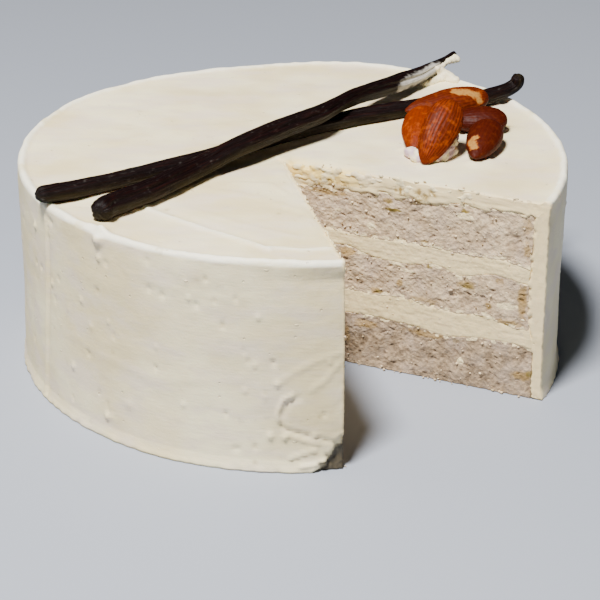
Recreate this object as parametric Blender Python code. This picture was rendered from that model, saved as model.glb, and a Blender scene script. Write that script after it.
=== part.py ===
# A round layer cake with a slice cut out of it: three sponges with two fillings between them, under
# one coat of cream icing, with two vanilla pods laid across its top and almonds set beside them.
# Metres, +Z up. The origin is the centre of the round, on the underside of the lowest sponge.

import math

import bmesh
import bpy
from mathutils import Matrix, Vector, noise

GAP = 0.0003  # between neighbouring pieces

# The round, and its unevenness: waves round it with their cosine and sine parts
CAKE_RADIUS = 0.0900
CAKE_HEIGHT = 0.0700
OUTLINE_WAVES = ((2, -0.00014, 0.00032), (3, -0.00126, 0.00025), (4, -0.00050, -0.00046))
BASE_FLARE = 0.0011  # how much wider the icing is at its base than under its rim
FOOT_FLARE = 0.0009  # the little skirt round its foot
FOOT_HEIGHT = 0.0035
SIDE_SWELL = 0.0003  # slow bulges left in the side by the palette knife
# How far the icing leans out at its rim: waves round it with their cosine and sine parts
RIM_FLARE = ((0, 0.0005, 0.0), (1, 0.0003, 0.0), (2, 0.0009, 0.0003))
ICING_FOOT = 0.0004  # the icing's lowest point, above the sponge's underside

# The slice: where its two cuts meet, and their directions from there
SLICE_TIP = (-0.0041, -0.0055)
RIGHT_CUT = math.radians(-23.6)
LEFT_CUT = math.radians(283.1)
COLUMNS = 58  # even steps round the cake, from one cut to the other
CUT_STEPS = 18  # steps along each cut
CORE_INSET = 0.0045  # from the outline in to the rim of the sponges

# Heights where one layer meets the next, as (distance from the slice's tip, height) along the right cut
MEETINGS = {
    "base": ((0.0, 0.0), (0.089, 0.0)),
    "bottom_sponge_top": ((0.0, 0.0182), (0.014, 0.0178), (0.030, 0.0188), (0.046, 0.0182), (0.058, 0.0164),
                          (0.067, 0.0180), (0.080, 0.0186), (0.089, 0.0176)),
    "middle_sponge_base": ((0.0, 0.0266), (0.014, 0.0262), (0.024, 0.0272), (0.032, 0.0266), (0.041, 0.0276),
                           (0.054, 0.0259), (0.063, 0.0256), (0.072, 0.0266), (0.080, 0.0240),
                           (0.086, 0.0243)),
    "middle_sponge_top": ((0.0, 0.0410), (0.010, 0.0402), (0.018, 0.0423), (0.0225, 0.0438), (0.027, 0.0413),
                          (0.036, 0.0400), (0.045, 0.0398), (0.054, 0.0419), (0.063, 0.0388),
                          (0.072, 0.0413), (0.077, 0.0418), (0.086, 0.0400)),
    "top_sponge_base": ((0.0, 0.0470), (0.012, 0.0477), (0.030, 0.0470), (0.048, 0.0476), (0.066, 0.0470),
                        (0.078, 0.0475), (0.086, 0.0456)),
    "top_sponge_top": ((0.0, 0.0608), (0.009, 0.0617), (0.018, 0.0629), (0.036, 0.0637), (0.045, 0.0643),
                       (0.054, 0.0633), (0.063, 0.0643), (0.081, 0.0650), (0.088, 0.0646)),
}
LEFT_CUT_WAVE = 0.0008  # how far the layers wander on the other cut
LEFT_CUT_FADE = 0.0120  # how far from the slice's tip they start to

# Thickness of the icing outside the layers, as (height, thickness)
SIDE_ICING = ((0.0, 0.0022), (0.0184, 0.0024), (0.0263, 0.0042), (0.0410, 0.0047), (0.0472, 0.0042),
              (0.0650, 0.0038))

# Roughness of the cut faces
SPONGE_CRUMB = 0.0005
FILLING_CRUMB = 0.0002
EDGE_CRUMB = 0.0001  # where two layers meet
CRUMB_GRAIN = 180.0  # how closely its bumps follow each other
CRUMB_FADE = 0.0100  # how far from the slice's tip it sets in

# The icing's top, its raised rim, and the lump where a pod's end was pushed through the rim
TOP_HEIGHT = 0.0692
TOP_WAVE = 0.0003
TOP_GRAIN = 28.0
RIM_WAVE = 0.44  # share by which the rim rises and sinks round the cake
RIM_PROFILE = ((0.0070, 0.0), (0.0036, 0.0001), (0.0014, 0.0009), (0.0004, 0.0006))
TOP_ROWS = (0.18, 0.36, 0.52, 0.66, 0.78, 0.87)
SIDE_ROWS = (0.0684, 0.0640, 0.0540, 0.0430, 0.0320, 0.0210, 0.0110, 0.0040, 0.0016)
LUMP_ANGLE = math.radians(54.6)
LUMP_HEIGHT = 0.0022
LUMP_SIZE = 0.0036
LUMP_STEP = math.radians(1.7)  # between the columns that cross it

# Vanilla pods: (x, y, z, radius) along each, hand-laid
POD_UNDER = (
    (-0.0806, -0.0476, 0.0737, 0.0024), (-0.0788, -0.0462, 0.0734, 0.0028),
    (-0.0744, -0.0432, 0.0729, 0.0030), (-0.0688, -0.0397, 0.0726, 0.0030),
    (-0.0557, -0.0309, 0.0725, 0.0029), (-0.0397, -0.0199, 0.0725, 0.0029),
    (-0.0278, -0.0111, 0.0724, 0.0028), (-0.0092, 0.0058, 0.0723, 0.0028),
    (0.0143, 0.0227, 0.0723, 0.0028), (0.0288, 0.0302, 0.0724, 0.0029),
    (0.0499, 0.0400, 0.0724, 0.0028), (0.0640, 0.0449, 0.0727, 0.0027),
    (0.0713, 0.0489, 0.0733, 0.0025), (0.0752, 0.0513, 0.0741, 0.0024),
    (0.0773, 0.0519, 0.0759, 0.0024), (0.0776, 0.0511, 0.0790, 0.0024),
)
POD_OVER = (
    (-0.0602, -0.0611, 0.0736, 0.0031), (-0.0594, -0.0586, 0.0735, 0.0035),
    (-0.0576, -0.0546, 0.0733, 0.0036), (-0.0541, -0.0511, 0.0732, 0.0036),
    (-0.0446, -0.0410, 0.0732, 0.0037), (-0.0333, -0.0262, 0.0734, 0.0036),
    (-0.0275, -0.0197, 0.0742, 0.0035), (-0.0212, -0.0138, 0.0756, 0.0034),
    (-0.0152, -0.0083, 0.0764, 0.0034), (-0.0090, -0.0019, 0.0768, 0.0034),
    (-0.0028, 0.0040, 0.0774, 0.0034), (0.0043, 0.0103, 0.0779, 0.0033),
    (0.0081, 0.0140, 0.0781, 0.0031), (0.0143, 0.0223, 0.0784, 0.0026),
    (0.0206, 0.0324, 0.0776, 0.0029), (0.0292, 0.0453, 0.0756, 0.0032),
    (0.0366, 0.0563, 0.0742, 0.0032), (0.0430, 0.0649, 0.0735, 0.0028),
    (0.0485, 0.0727, 0.0735, 0.0023), (0.0537, 0.0799, 0.0739, 0.0016),
    (0.0576, 0.0858, 0.0750, 0.0009),
)
POD_SIDES = 10
POD_STEP = 0.0042
POD_SMOOTHING = 12  # steps between two spots of a route, before even spacing
POD_FLATTENING = 0.05
POD_LOBES = 0.04  # three low ridges along a pod
POD_WRINKLES = 0.03

# Almonds: length, width, thickness, centre, direction of the pointed end, direction of the upper face
ALMONDS = {
    "almond_back": (0.0310, 0.0118, 0.0080, (0.0515, 0.0297, 0.0761), (-1.0, -0.37, -0.05),
                    (0.10, -0.50, 0.85)),
    "almond_left": (0.0230, 0.0126, 0.0080, (0.0411, 0.0096, 0.0744), (-0.20, -0.90, -0.30),
                    (-0.15, -0.25, 1.0)),
    "almond_front": (0.0250, 0.0128, 0.0078, (0.0469, -0.0040, 0.0786), (-0.44, -0.66, -0.70),
                     (0.10, -0.70, 0.65)),
    "almond_right_upper": (0.0210, 0.0118, 0.0082, (0.0612, 0.0205, 0.0737), (-1.0, -0.05, 0.0),
                           (0.0, -0.30, 1.0)),
    "almond_right_lower": (0.0230, 0.0122, 0.0084, (0.0621, 0.0014, 0.0738), (-0.34, -1.0, -0.20),
                           (0.15, -0.15, 1.0)),
}
ALMOND_RINGS = 13
ALMOND_SIDES = 14
ALMOND_BROAD_END = 0.44  # the lower, the blunter
ALMOND_POINTED_END = 0.68
ALMOND_FULLEST = 1.028  # brings the widest ring to the full width

CREAM = ((0.86, 0.82, 0.73, 1.0), 0.45)
SPONGE = ((0.66, 0.50, 0.36, 1.0), 0.9)
FILLING = ((0.80, 0.72, 0.58, 1.0), 0.6)
POD = ((0.035, 0.017, 0.012, 1.0), 0.35)
ALMOND = ((0.36, 0.11, 0.035, 1.0), 0.5)


def between(points, at):
    """Height or thickness read from a list of pairs, eased between them."""
    if at <= points[0][0]:
        return points[0][1]
    for (a, low), (b, high) in zip(points, points[1:]):
        if at <= b:
            share = (at - a) / (b - a)
            eased = share * share * (3 - 2 * share)
            return low + (high - low) * eased
    return points[-1][1]


def straight_between(points, at):
    """Height or thickness read from a list of pairs, in straight lines between them."""
    for (a, low), (b, high) in zip(points, points[1:]):
        if at <= b:
            return low + (high - low) * max(0.0, at - a) / (b - a)
    return points[-1][1]


def outline_radius(angle):
    """Radius of the round at an angle about the origin."""
    uneven = sum(c * math.cos(n * angle) + s * math.sin(n * angle) for n, c, s in OUTLINE_WAVES)
    return CAKE_RADIUS + uneven


def lean(heading, height):
    """How far the icing's side stands outside the round at a height."""
    out = sum(c * math.cos(n * heading) + s * math.sin(n * heading) for n, c, s in RIM_FLARE)
    return out * (height / CAKE_HEIGHT) ** 1.2


def reach(heading):
    """Distance from the slice's tip to the outline, in one direction."""
    distance = CAKE_RADIUS
    for _ in range(12):
        x = SLICE_TIP[0] + distance * math.cos(heading)
        y = SLICE_TIP[1] + distance * math.sin(heading)
        distance += outline_radius(math.atan2(y, x)) - math.hypot(x, y)
    return distance


def headings():
    """Directions of the columns, closer together beside the lump on the rim."""
    step = (LEFT_CUT - RIGHT_CUT) / COLUMNS
    even = [RIGHT_CUT + step * i for i in range(COLUMNS + 1)]
    close = [LUMP_ANGLE + LUMP_STEP * k for k in (-2, -1, 0, 1, 2)]
    kept = [a for a in even if min(abs(a - b) for b in close) > 0.8 * LUMP_STEP]
    return sorted(kept + close)


HEADINGS = headings()
REACHES = [reach(heading) for heading in HEADINGS]
LAST = len(HEADINGS) - 1


def place(heading, distance, height, aside=0.0):
    """A point at a distance from the slice's tip, moved aside at right angles to its heading."""
    x = SLICE_TIP[0] + distance * math.cos(heading) - aside * math.sin(heading)
    y = SLICE_TIP[1] + distance * math.sin(heading) + aside * math.cos(heading)
    return Vector((x, y, height))


def meeting_height(name, column, distance):
    """Height where two layers meet: measured on one cut, wandering on the other, even between."""
    points = MEETINGS[name]
    if column == 0:
        return between(points, distance)
    if column == LAST and name != "base":
        level = between(points, 0.0)
        rise = (between(points, 1.0) - level) * distance / CAKE_RADIUS
        phase = 90.0 * distance + 40.0 * level
        fade = min(1.0, distance / LEFT_CUT_FADE)
        return level + rise + LEFT_CUT_WAVE * fade * math.sin(phase * 2.6) * math.cos(phase)
    return points[-1][1] if distance > 0 else points[0][1]


def crumb_offset(heading, distance, height, amount):
    """How far a point of a cut face stands out of its plane."""
    spot = Vector((distance * CRUMB_GRAIN, height * CRUMB_GRAIN, heading))
    return amount * 1.6 * noise.noise(spot) * min(1.0, distance / CRUMB_FADE)


def make_material(name, look):
    material = bpy.data.materials.new(name)
    material.use_nodes = True
    shader = material.node_tree.nodes["Principled BSDF"]
    shader.inputs["Base Color"].default_value = look[0]
    shader.inputs["Roughness"].default_value = look[1]
    shader.inputs["Metallic"].default_value = 0.0
    return material


def make_object(name, points, faces, look, whole):
    """A closed mesh from points and faces, turned outwards, as one named object."""
    mesh = bpy.data.meshes.new(name)
    work = bmesh.new()
    corners = [work.verts.new(point) for point in points]
    for face in faces:
        work.faces.new([corners[k] for k in face])
    bmesh.ops.triangulate(work, faces=work.faces[:])
    bmesh.ops.recalc_face_normals(work, faces=work.faces[:])
    work.to_mesh(mesh)
    work.free()
    mesh.shade_smooth()
    mesh.set_sharp_from_angle(angle=math.radians(40))
    mesh.materials.append(make_material(name, look))
    item = bpy.data.objects.new(name, mesh)
    bpy.context.scene.collection.objects.link(item)
    item.parent = whole
    return item


class Shell:
    """Points and faces gathered for one solid."""

    def __init__(self):
        self.points = []
        self.faces = []

    def point(self, position):
        self.points.append(position)
        return len(self.points) - 1

    def face(self, *corners):
        kept = [c for k, c in enumerate(corners) if c != corners[k - 1]]
        if len(kept) > 2:
            self.faces.append(kept)

    def strip(self, one, other):
        """Quads between two equally long rows of points."""
        for k in range(len(one) - 1):
            self.face(one[k], one[k + 1], other[k + 1], other[k])

    def zip_rows(self, one, other):
        """Triangles between two rows that start and end side by side, however their points fall."""
        a = b = 0
        while a < len(one) - 1 or b < len(other) - 1:
            step_a = self.gap(one, a + 1, other, b)
            step_b = self.gap(one, a, other, b + 1)
            if step_a <= step_b:
                self.face(one[a], one[a + 1], other[b])
                a += 1
            else:
                self.face(one[a], other[b + 1], other[b])
                b += 1

    def gap(self, one, a, other, b):
        if a >= len(one) or b >= len(other):
            return math.inf
        return (self.points[one[a]] - self.points[other[b]]).length

    def fan(self, tip, right, left, rims):
        """A flat-lying face: both cuts' points, the slice's tip, and the rim's points between."""
        for cut, rim in ((right, rims[1]), (left, rims[-2])):
            row = [tip] + cut
            for a, b in zip(row, row[1:]):
                self.face(a, b, rim)
        for a, b in zip(rims[1:-2], rims[2:-1]):
            self.face(tip, a, b)


def make_layer(name, base, top, rows, crumb, look, whole):
    """One sponge or filling, between two meeting heights, out to the icing."""
    shell = Shell()

    def upright(column, share):
        """The layer's points above one spot, from its base to its top."""
        level = []
        full = REACHES[column]
        inside = full - CORE_INSET
        low = meeting_height(base, column, inside * share) + (GAP / 2 if base != "base" else 0.0)
        high = meeting_height(top, column, inside * share) - GAP / 2
        for row in range(rows + 1):
            height = low + (high - low) * row / rows
            edge = full - straight_between(SIDE_ICING, height) - GAP / 2
            distance = edge * share
            aside = 0.0
            if column in (0, LAST):
                side = -1.0 if column == 0 else 1.0
                amount = crumb if 0 < row < rows else EDGE_CRUMB
                aside = side * crumb_offset(HEADINGS[column], distance, height, amount)
            level.append(shell.point(place(HEADINGS[column], distance, height, aside)))
        return level

    tip = upright(1, 0.0)
    cuts = []
    for column in (0, LAST):
        cuts.append([upright(column, (k + 1) / CUT_STEPS) for k in range(CUT_STEPS)])
    rims = [cuts[0][-1]] + [upright(column, 1.0) for column in range(1, LAST)] + [cuts[1][-1]]
    for cut in cuts:
        for one, other in zip([tip] + cut, cut):
            shell.strip(one, other)
    for one, other in zip(rims, rims[1:]):
        shell.strip(one, other)
    for row in (0, rows):
        shell.fan(tip[row], [p[row] for p in cuts[0]], [p[row] for p in cuts[1]], [p[row] for p in rims])
    make_object(name, shell.points, shell.faces, look, whole)


def top_surface(x, y, heading):
    """Height of the icing's top away from its rim."""
    wave = noise.noise(Vector((x * TOP_GRAIN, y * TOP_GRAIN, 3.1)))
    return TOP_HEIGHT + TOP_WAVE * wave + 0.0001 * math.sin(5 * heading)


def lump(heading, distance, full):
    """Extra height of the lump on the rim."""
    along = (heading - LUMP_ANGLE) * full
    across = full - 0.0020 - distance
    return LUMP_HEIGHT * math.exp(-(along * along + across * across) / LUMP_SIZE ** 2)


def icing_profile(column):
    """The icing's section at one column, from its inner top corner round to near the slice's tip."""
    heading = HEADINGS[column]
    full = REACHES[column]
    profile = []
    corner = meeting_height("top_sponge_top", column, full) + GAP / 2
    inner_heights = [corner] + [h for h, _ in reversed(SIDE_ICING[1:-1])] + [ICING_FOOT]
    for height in inner_heights:
        distance = full - straight_between(SIDE_ICING, height) + GAP / 2
        profile.append(place(heading, distance, height))
    for height in (ICING_FOOT,) + tuple(reversed(SIDE_ROWS)):
        flare = BASE_FLARE * (1 - height / CAKE_HEIGHT) ** 2
        foot = FOOT_FLARE * max(0.0, 1 - height / FOOT_HEIGHT)
        swell = SIDE_SWELL * noise.noise(Vector((4.0 * heading, height * 45.0, 7.0)))
        profile.append(place(heading, full + flare + foot + swell + lean(heading, height), height))
    waving = 1 + RIM_WAVE * noise.noise(Vector((3.2 * heading, 1.7, 0.4)))
    for inset, rise in reversed(RIM_PROFILE):
        distance = full - inset + lean(heading, CAKE_HEIGHT)
        height = TOP_HEIGHT + rise * waving + lump(heading, distance, full)
        profile.append(place(heading, distance, height))
    for share in reversed(TOP_ROWS):
        distance = full * share
        spot = place(heading, distance, 0.0)
        spot.z = top_surface(spot.x, spot.y, heading) + lump(heading, distance, full)
        profile.append(spot)
    return profile


def make_icing(whole):
    """The coat of cream: its top, its side down to the base, and both of its cut ends."""
    shell = Shell()
    columns = [[shell.point(p) for p in icing_profile(c)] for c in range(LAST + 1)]
    for one, other in zip(columns, columns[1:]):
        shell.strip(one, other)
    crown = shell.point(Vector((SLICE_TIP[0], SLICE_TIP[1], TOP_HEIGHT)))
    for one, other in zip(columns, columns[1:]):
        shell.face(one[-1], crown, other[-1])
    under_height = meeting_height("top_sponge_top", 1, 0.0) + GAP / 2
    under = shell.point(Vector((SLICE_TIP[0], SLICE_TIP[1], under_height)))
    under_cuts = []
    for column in (0, LAST):
        full = REACHES[column]
        edge = full - SIDE_ICING[-1][1] + GAP / 2
        row = []
        for k in range(1, CUT_STEPS):
            distance = edge * k / CUT_STEPS
            inside = (full - CORE_INSET) * k / CUT_STEPS
            height = meeting_height("top_sponge_top", column, inside) + GAP / 2
            row.append(shell.point(place(HEADINGS[column], distance, height)))
        under_cuts.append(row + [columns[column][0]])
    shell.fan(under, under_cuts[0], under_cuts[1], [c[0] for c in columns])
    inner_count = len(SIDE_ICING)
    shoulder = inner_count + 1 + len(SIDE_ROWS)
    for cut, column in zip(under_cuts, (columns[0], columns[LAST])):
        shell.zip_rows([under] + cut, [crown] + column[:shoulder - 1:-1])
        shell.zip_rows(column[:inner_count], column[shoulder:inner_count - 1:-1])
    make_object("icing", shell.points, shell.faces, CREAM, whole)


def smooth_route(route):
    """Evenly spaced points, with radii, on a smooth curve through a pod's route."""
    ends = [route[0]] + list(route) + [route[-1]]
    dense = []
    for k in range(1, len(ends) - 2):
        for step in range(POD_SMOOTHING):
            t = step / POD_SMOOTHING
            dense.append([0.5 * (2 * q + (r - p) * t + (2 * p - 5 * q + 4 * r - s) * t * t
                                 + (3 * q - p - 3 * r + s) * t * t * t)
                          for p, q, r, s in zip(*ends[k - 1:k + 3])])
    dense.append(list(route[-1]))
    lengths = [0.0]
    for one, other in zip(dense, dense[1:]):
        lengths.append(lengths[-1] + (Vector(other[:3]) - Vector(one[:3])).length)
    count = round(lengths[-1] / POD_STEP)
    spaced = []
    reached = 0
    for step in range(count + 1):
        want = lengths[-1] * step / count
        while reached < len(dense) - 2 and lengths[reached + 1] < want:
            reached += 1
        run = lengths[reached + 1] - lengths[reached]
        share = (want - lengths[reached]) / run if run else 0.0
        spaced.append([p + (q - p) * share for p, q in zip(dense[reached], dense[reached + 1])])
    return spaced


def make_pod(name, route, whole):
    """A vanilla pod: a bent, slightly flattened and lobed rod with rounded ends."""
    spots = smooth_route(route)
    centres = [Vector(s[:3]) for s in spots]
    radii = [s[3] for s in spots]
    first = (centres[0] - centres[1]).normalized()
    last = (centres[-1] - centres[-2]).normalized()
    centres = [centres[0] + first * radii[0] * 0.6] + centres + [centres[-1] + last * radii[-1] * 0.6]
    radii = [radii[0] * 0.55] + radii + [radii[-1] * 0.55]
    shell = Shell()
    rings = []
    side = Vector((0.0, 0.0, 1.0))
    for k, centre in enumerate(centres):
        ahead = (centres[min(k + 1, len(centres) - 1)] - centres[max(k - 1, 0)]).normalized()
        side = (side - ahead * side.dot(ahead)).normalized()
        across = ahead.cross(side)
        ring = []
        for corner in range(POD_SIDES):
            turn = 2 * math.pi * corner / POD_SIDES
            wrinkle = noise.noise(Vector((k * 0.6, turn, 2.0)))
            lobes = 1 + POD_LOBES * math.sin(3 * turn + 0.25 * k) + POD_WRINKLES * wrinkle
            up = math.cos(turn) * (1 - POD_FLATTENING)
            out = math.sin(turn) * (1 + POD_FLATTENING)
            ring.append(shell.point(centre + (side * up + across * out) * radii[k] * lobes))
        rings.append(ring)
    for one, other in zip(rings, rings[1:]):
        shell.strip(one + one[:1], other + other[:1])
    for ring, centre, ahead in ((rings[0], centres[0], first), (rings[-1], centres[-1], last)):
        end = shell.point(centre + ahead * 0.0004)
        for a, b in zip(ring, ring[1:] + ring[:1]):
            shell.face(a, b, end)
    make_object(name, shell.points, shell.faces, POD, whole)


def make_almond(name, shape, whole):
    """A whole almond: flat-sided, broad at one end and pointed at the other."""
    length, width, thickness, centre, tip, face = shape
    shell = Shell()
    rings = []
    for ring in range(1, ALMOND_RINGS):
        along = -math.cos(math.pi * ring / ALMOND_RINGS)
        girth = (1 + along) ** ALMOND_BROAD_END * (1 - along) ** ALMOND_POINTED_END / ALMOND_FULLEST
        row = []
        for corner in range(ALMOND_SIDES):
            turn = 2 * math.pi * corner / ALMOND_SIDES
            row.append(shell.point(Vector((along * length / 2, girth * math.cos(turn) * width / 2,
                                           girth * math.sin(turn) * thickness / 2))))
        rings.append(row)
    for one, other in zip(rings, rings[1:]):
        shell.strip(one + one[:1], other + other[:1])
    for row, x in ((rings[0], -length / 2), (rings[-1], length / 2)):
        end = shell.point(Vector((x, 0.0, 0.0)))
        for a, b in zip(row, row[1:] + row[:1]):
            shell.face(a, b, end)
    almond = make_object(name, shell.points, shell.faces, ALMOND, whole)
    ahead = Vector(tip).normalized()
    upper = Vector(face)
    upper = (upper - ahead * upper.dot(ahead)).normalized()
    turned = Matrix((ahead, upper.cross(ahead), upper)).transposed()
    almond.location = centre
    almond.rotation_euler = turned.to_euler()


def main():
    for item in list(bpy.data.objects):
        bpy.data.objects.remove(item, do_unlink=True)
    whole = bpy.data.objects.new("cake", None)
    bpy.context.scene.collection.objects.link(whole)
    make_layer("sponge_bottom", "base", "bottom_sponge_top", 4, SPONGE_CRUMB, SPONGE, whole)
    make_layer("filling_lower", "bottom_sponge_top", "middle_sponge_base", 2, FILLING_CRUMB, FILLING, whole)
    make_layer("sponge_middle", "middle_sponge_base", "middle_sponge_top", 4, SPONGE_CRUMB, SPONGE, whole)
    make_layer("filling_upper", "middle_sponge_top", "top_sponge_base", 2, FILLING_CRUMB, FILLING, whole)
    make_layer("sponge_top", "top_sponge_base", "top_sponge_top", 4, SPONGE_CRUMB, SPONGE, whole)
    make_icing(whole)
    make_pod("vanilla_pod_under", POD_UNDER, whole)
    make_pod("vanilla_pod_over", POD_OVER, whole)
    for name, shape in ALMONDS.items():
        make_almond(name, shape, whole)


main()
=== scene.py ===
import math
import random

import bpy
import numpy as np
from mathutils import Matrix, Vector, noise


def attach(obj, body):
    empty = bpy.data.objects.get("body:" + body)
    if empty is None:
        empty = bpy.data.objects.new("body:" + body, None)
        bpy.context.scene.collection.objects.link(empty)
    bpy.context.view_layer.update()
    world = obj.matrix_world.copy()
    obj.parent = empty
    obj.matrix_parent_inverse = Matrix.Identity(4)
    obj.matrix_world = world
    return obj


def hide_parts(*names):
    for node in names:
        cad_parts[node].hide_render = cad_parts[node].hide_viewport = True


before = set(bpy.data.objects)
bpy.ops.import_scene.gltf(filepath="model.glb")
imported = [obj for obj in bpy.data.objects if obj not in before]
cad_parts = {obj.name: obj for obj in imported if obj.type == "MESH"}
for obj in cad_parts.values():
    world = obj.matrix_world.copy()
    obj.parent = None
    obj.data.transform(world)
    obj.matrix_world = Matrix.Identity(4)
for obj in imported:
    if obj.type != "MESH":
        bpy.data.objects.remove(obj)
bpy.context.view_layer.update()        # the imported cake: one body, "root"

# Lengths below are in millimetres and angles in degrees; mm turns them into metres.
mm = 0.001

cake = {
    "tip": (-4.1, -5.5),      # where the missing slice's two cuts meet
    "rightCut": -23.6,        # the cuts' headings from there
    "leftCut": 283.1,
    "top": 69.2,
    "radius": 90.0,
    "sideHeights": (1.6, 4.0, 11.0, 21.0, 32.0, 43.0, 54.0, 64.0, 68.4),
    "waves": 5,               # how many waves describe the uneven round
    "levelWithin": 0.06,      # how near a side height its points lie
    "faceWithin": 1.0,        # how near a cut's plane its points lie
    "stationGap": 1.2,        # points further apart along a cut are separate stations
}


# Picking and reading pieces

def clearSelection():
    if bpy.context.object and bpy.context.object.mode != "OBJECT":
        bpy.ops.object.mode_set(mode="OBJECT")
    bpy.ops.object.select_all(action="DESELECT")


def pick(piece):
    clearSelection()
    piece.select_set(True)
    bpy.context.view_layer.objects.active = piece


def editAll(piece):
    # into edit mode, with the whole piece selected
    pick(piece)
    bpy.ops.object.mode_set(mode="EDIT")
    bpy.ops.mesh.select_all(action="SELECT")


def readOut(items, name):
    flat = np.empty(len(items) * 3, np.float32)
    items.foreach_get(name, flat)
    return flat.reshape(-1, 3).astype(float)


def readPoints(piece):
    return readOut(piece.data.vertices, "co") / mm


def readNormals(piece):
    return readOut(piece.data.vertex_normals, "vector")


def writePoints(piece, points):
    piece.data.vertices.foreach_set("co", (points * mm).astype(np.float32).ravel())
    piece.data.update()


def noteValue(piece, name, values):
    # one number for each point, for a material to read
    note = piece.data.attributes.new(name, "FLOAT", "POINT")
    note.data.foreach_set("value", np.asarray(values, np.float32))


def noteSpot(piece, name, spots):
    # one place for each point, so that a pattern follows a bent piece
    note = piece.data.attributes.new(name, "FLOAT_VECTOR", "POINT")
    note.data.foreach_set("vector", np.asarray(spots, np.float32).ravel())


def sheet(name, columns, rows):
    # a flat grid, with each point's column and row in it
    clearSelection()
    bpy.ops.mesh.primitive_grid_add(x_subdivisions=columns, y_subdivisions=rows, size=1)
    piece = bpy.context.object
    piece.name = name
    flat = readPoints(piece) * mm + 0.5
    return piece, np.round(flat[:, 0] * columns).astype(int), np.round(flat[:, 1] * rows).astype(int)


def weld(piece, within=0.004):
    editAll(piece)
    bpy.ops.mesh.remove_doubles(threshold=within * mm)
    bpy.ops.mesh.select_all(action="SELECT")
    bpy.ops.mesh.normals_make_consistent(inside=False)
    bpy.ops.object.mode_set(mode="OBJECT")


def join(pieces, name):
    clearSelection()
    for piece in pieces:
        piece.select_set(True)
    bpy.context.view_layer.objects.active = pieces[0]
    bpy.ops.object.join()
    pieces[0].name = name
    return pieces[0]


def copyOf(node, name):
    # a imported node's mesh as a piece of its own, its loose triangles merged
    piece = bpy.data.objects.new(name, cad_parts[node].data.copy())
    bpy.context.scene.collection.objects.link(piece)
    piece.data.materials.clear()
    editAll(piece)
    bpy.ops.mesh.remove_doubles(threshold=0.01 * mm)
    bpy.ops.mesh.customdata_custom_splitnormals_clear()
    bpy.ops.mesh.normals_make_consistent(inside=False)
    bpy.ops.object.mode_set(mode="OBJECT")
    return piece


def apply(piece, kind, **settings):
    pick(piece)
    step = piece.modifiers.new(kind.title(), kind)
    for key, value in settings.items():
        setattr(step, key, value)
    bpy.ops.object.modifier_apply(modifier=step.name)


def deliver(piece, finish, slot, *nodes):
    pick(piece)
    bpy.ops.object.shade_smooth()
    piece.data.materials.clear()
    piece.data.materials.append(finish)
    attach(piece, "root")
    if nodes:
        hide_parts(*nodes)
    triangles = sum(len(face.vertices) - 2 for face in piece.data.polygons)
    print(f"made {piece.name}: {triangles} triangles")


# Fields of unevenness

def noiseAt(points, size, seed=0.0):
    # soft bumps of a size in mm, from about -1 to 1
    shift = np.array((seed * 17.3, seed * 5.1, seed * 9.7))
    return np.array([noise.noise(spot) for spot in (points / size + shift).tolist()])


def bumpsOn(points, bumps, seed=0):
    # soft bumps of several sizes together: each is (height, size, seed)
    return sum(height * noiseAt(points, size, seed + number) for height, size, number in bumps)


def onPlane(across, up):
    # flat places as places in space, for noise to read
    return np.column_stack([across, up, np.zeros(len(across))])


def ease(values, low, high):
    # 0 at low, 1 at high, eased between; the other way round where low is above high
    share = np.clip((values - low) / (high - low), 0.0, 1.0)
    return share * share * (3 - 2 * share)


def awayFrom(spots, route):
    # distance from a line through the route's places, flat or in space
    away = np.full(len(spots), 1e6)
    for start, end in zip(route, route[1:]):
        start = np.array(start, float)
        run = np.array(end, float) - start
        share = np.clip(((spots - start) @ run) / (run @ run), 0.0, 1.0)
        away = np.minimum(away, np.linalg.norm(spots - start - share[:, None] * run, axis=1))
    return away


def marksOn(spots, marks):
    # height of listed ridges and grooves: each is (width, height, route)
    total = np.zeros(len(spots))
    for width, height, route in marks:
        total += height * np.exp(-(awayFrom(spots, route) / width) ** 2)
    return total


def dotsOn(spots, dots):
    # height of round bumps and pits: each is (across, up, radius, height)
    total = np.zeros(len(spots))
    for across, up, radius, height in dots:
        away = ((spots[:, 0] - across) ** 2 + (spots[:, 1] - up) ** 2) / radius ** 2
        near = away < 9
        total[near] += height * np.exp(-away[near])
    return total


# The round and the cuts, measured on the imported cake

def nodePoints(name):
    return np.unique(np.round(readPoints(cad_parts[name]), 3), axis=0)


def waveTable(angles):
    waves = [np.ones_like(angles)]
    for count in range(1, cake["waves"] + 1):
        waves += [np.cos(count * angles), np.sin(count * angles)]
    return np.column_stack(waves)


def measureSide():
    # for each side height, the waves of the icing's distance from the middle
    points = nodePoints("icing")
    spread = np.hypot(points[:, 0], points[:, 1])
    fits = []
    for height in cake["sideHeights"]:
        level = np.abs(points[:, 2] - height) < cake["levelWithin"]
        ring = level & (spread > 0.9 * cake["radius"])
        angles = np.arctan2(points[ring, 1], points[ring, 0])
        fits.append(np.linalg.lstsq(waveTable(angles), spread[ring], rcond=None)[0])
    return fits


def reachTable(headings):
    # distance from the slice's tip to the icing's outside: one row for each side height
    table = []
    for fit in measureSide():
        distance = np.full_like(headings, cake["radius"])
        for _ in range(12):
            x, y, _ = fromTip(headings, distance, 0 * distance).T
            distance = distance + waveTable(np.arctan2(y, x)) @ fit - np.hypot(x, y)
        table.append(distance)
    return np.array(table)


def reachAt(table, columns, heights):
    levels = np.array(cake["sideHeights"])
    upper = np.clip(np.searchsorted(levels, heights), 1, len(levels) - 1)
    share = np.clip((heights - levels[upper - 1]) / (levels[upper] - levels[upper - 1]), 0.0, 1.0)
    return table[upper - 1, columns] * (1 - share) + table[upper, columns] * share


def fromTip(heading, distance, height):
    # places at a heading and a distance from the slice's tip
    x, y = cake["tip"]
    return np.column_stack([x + distance * np.cos(heading), y + distance * np.sin(heading), height])


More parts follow.
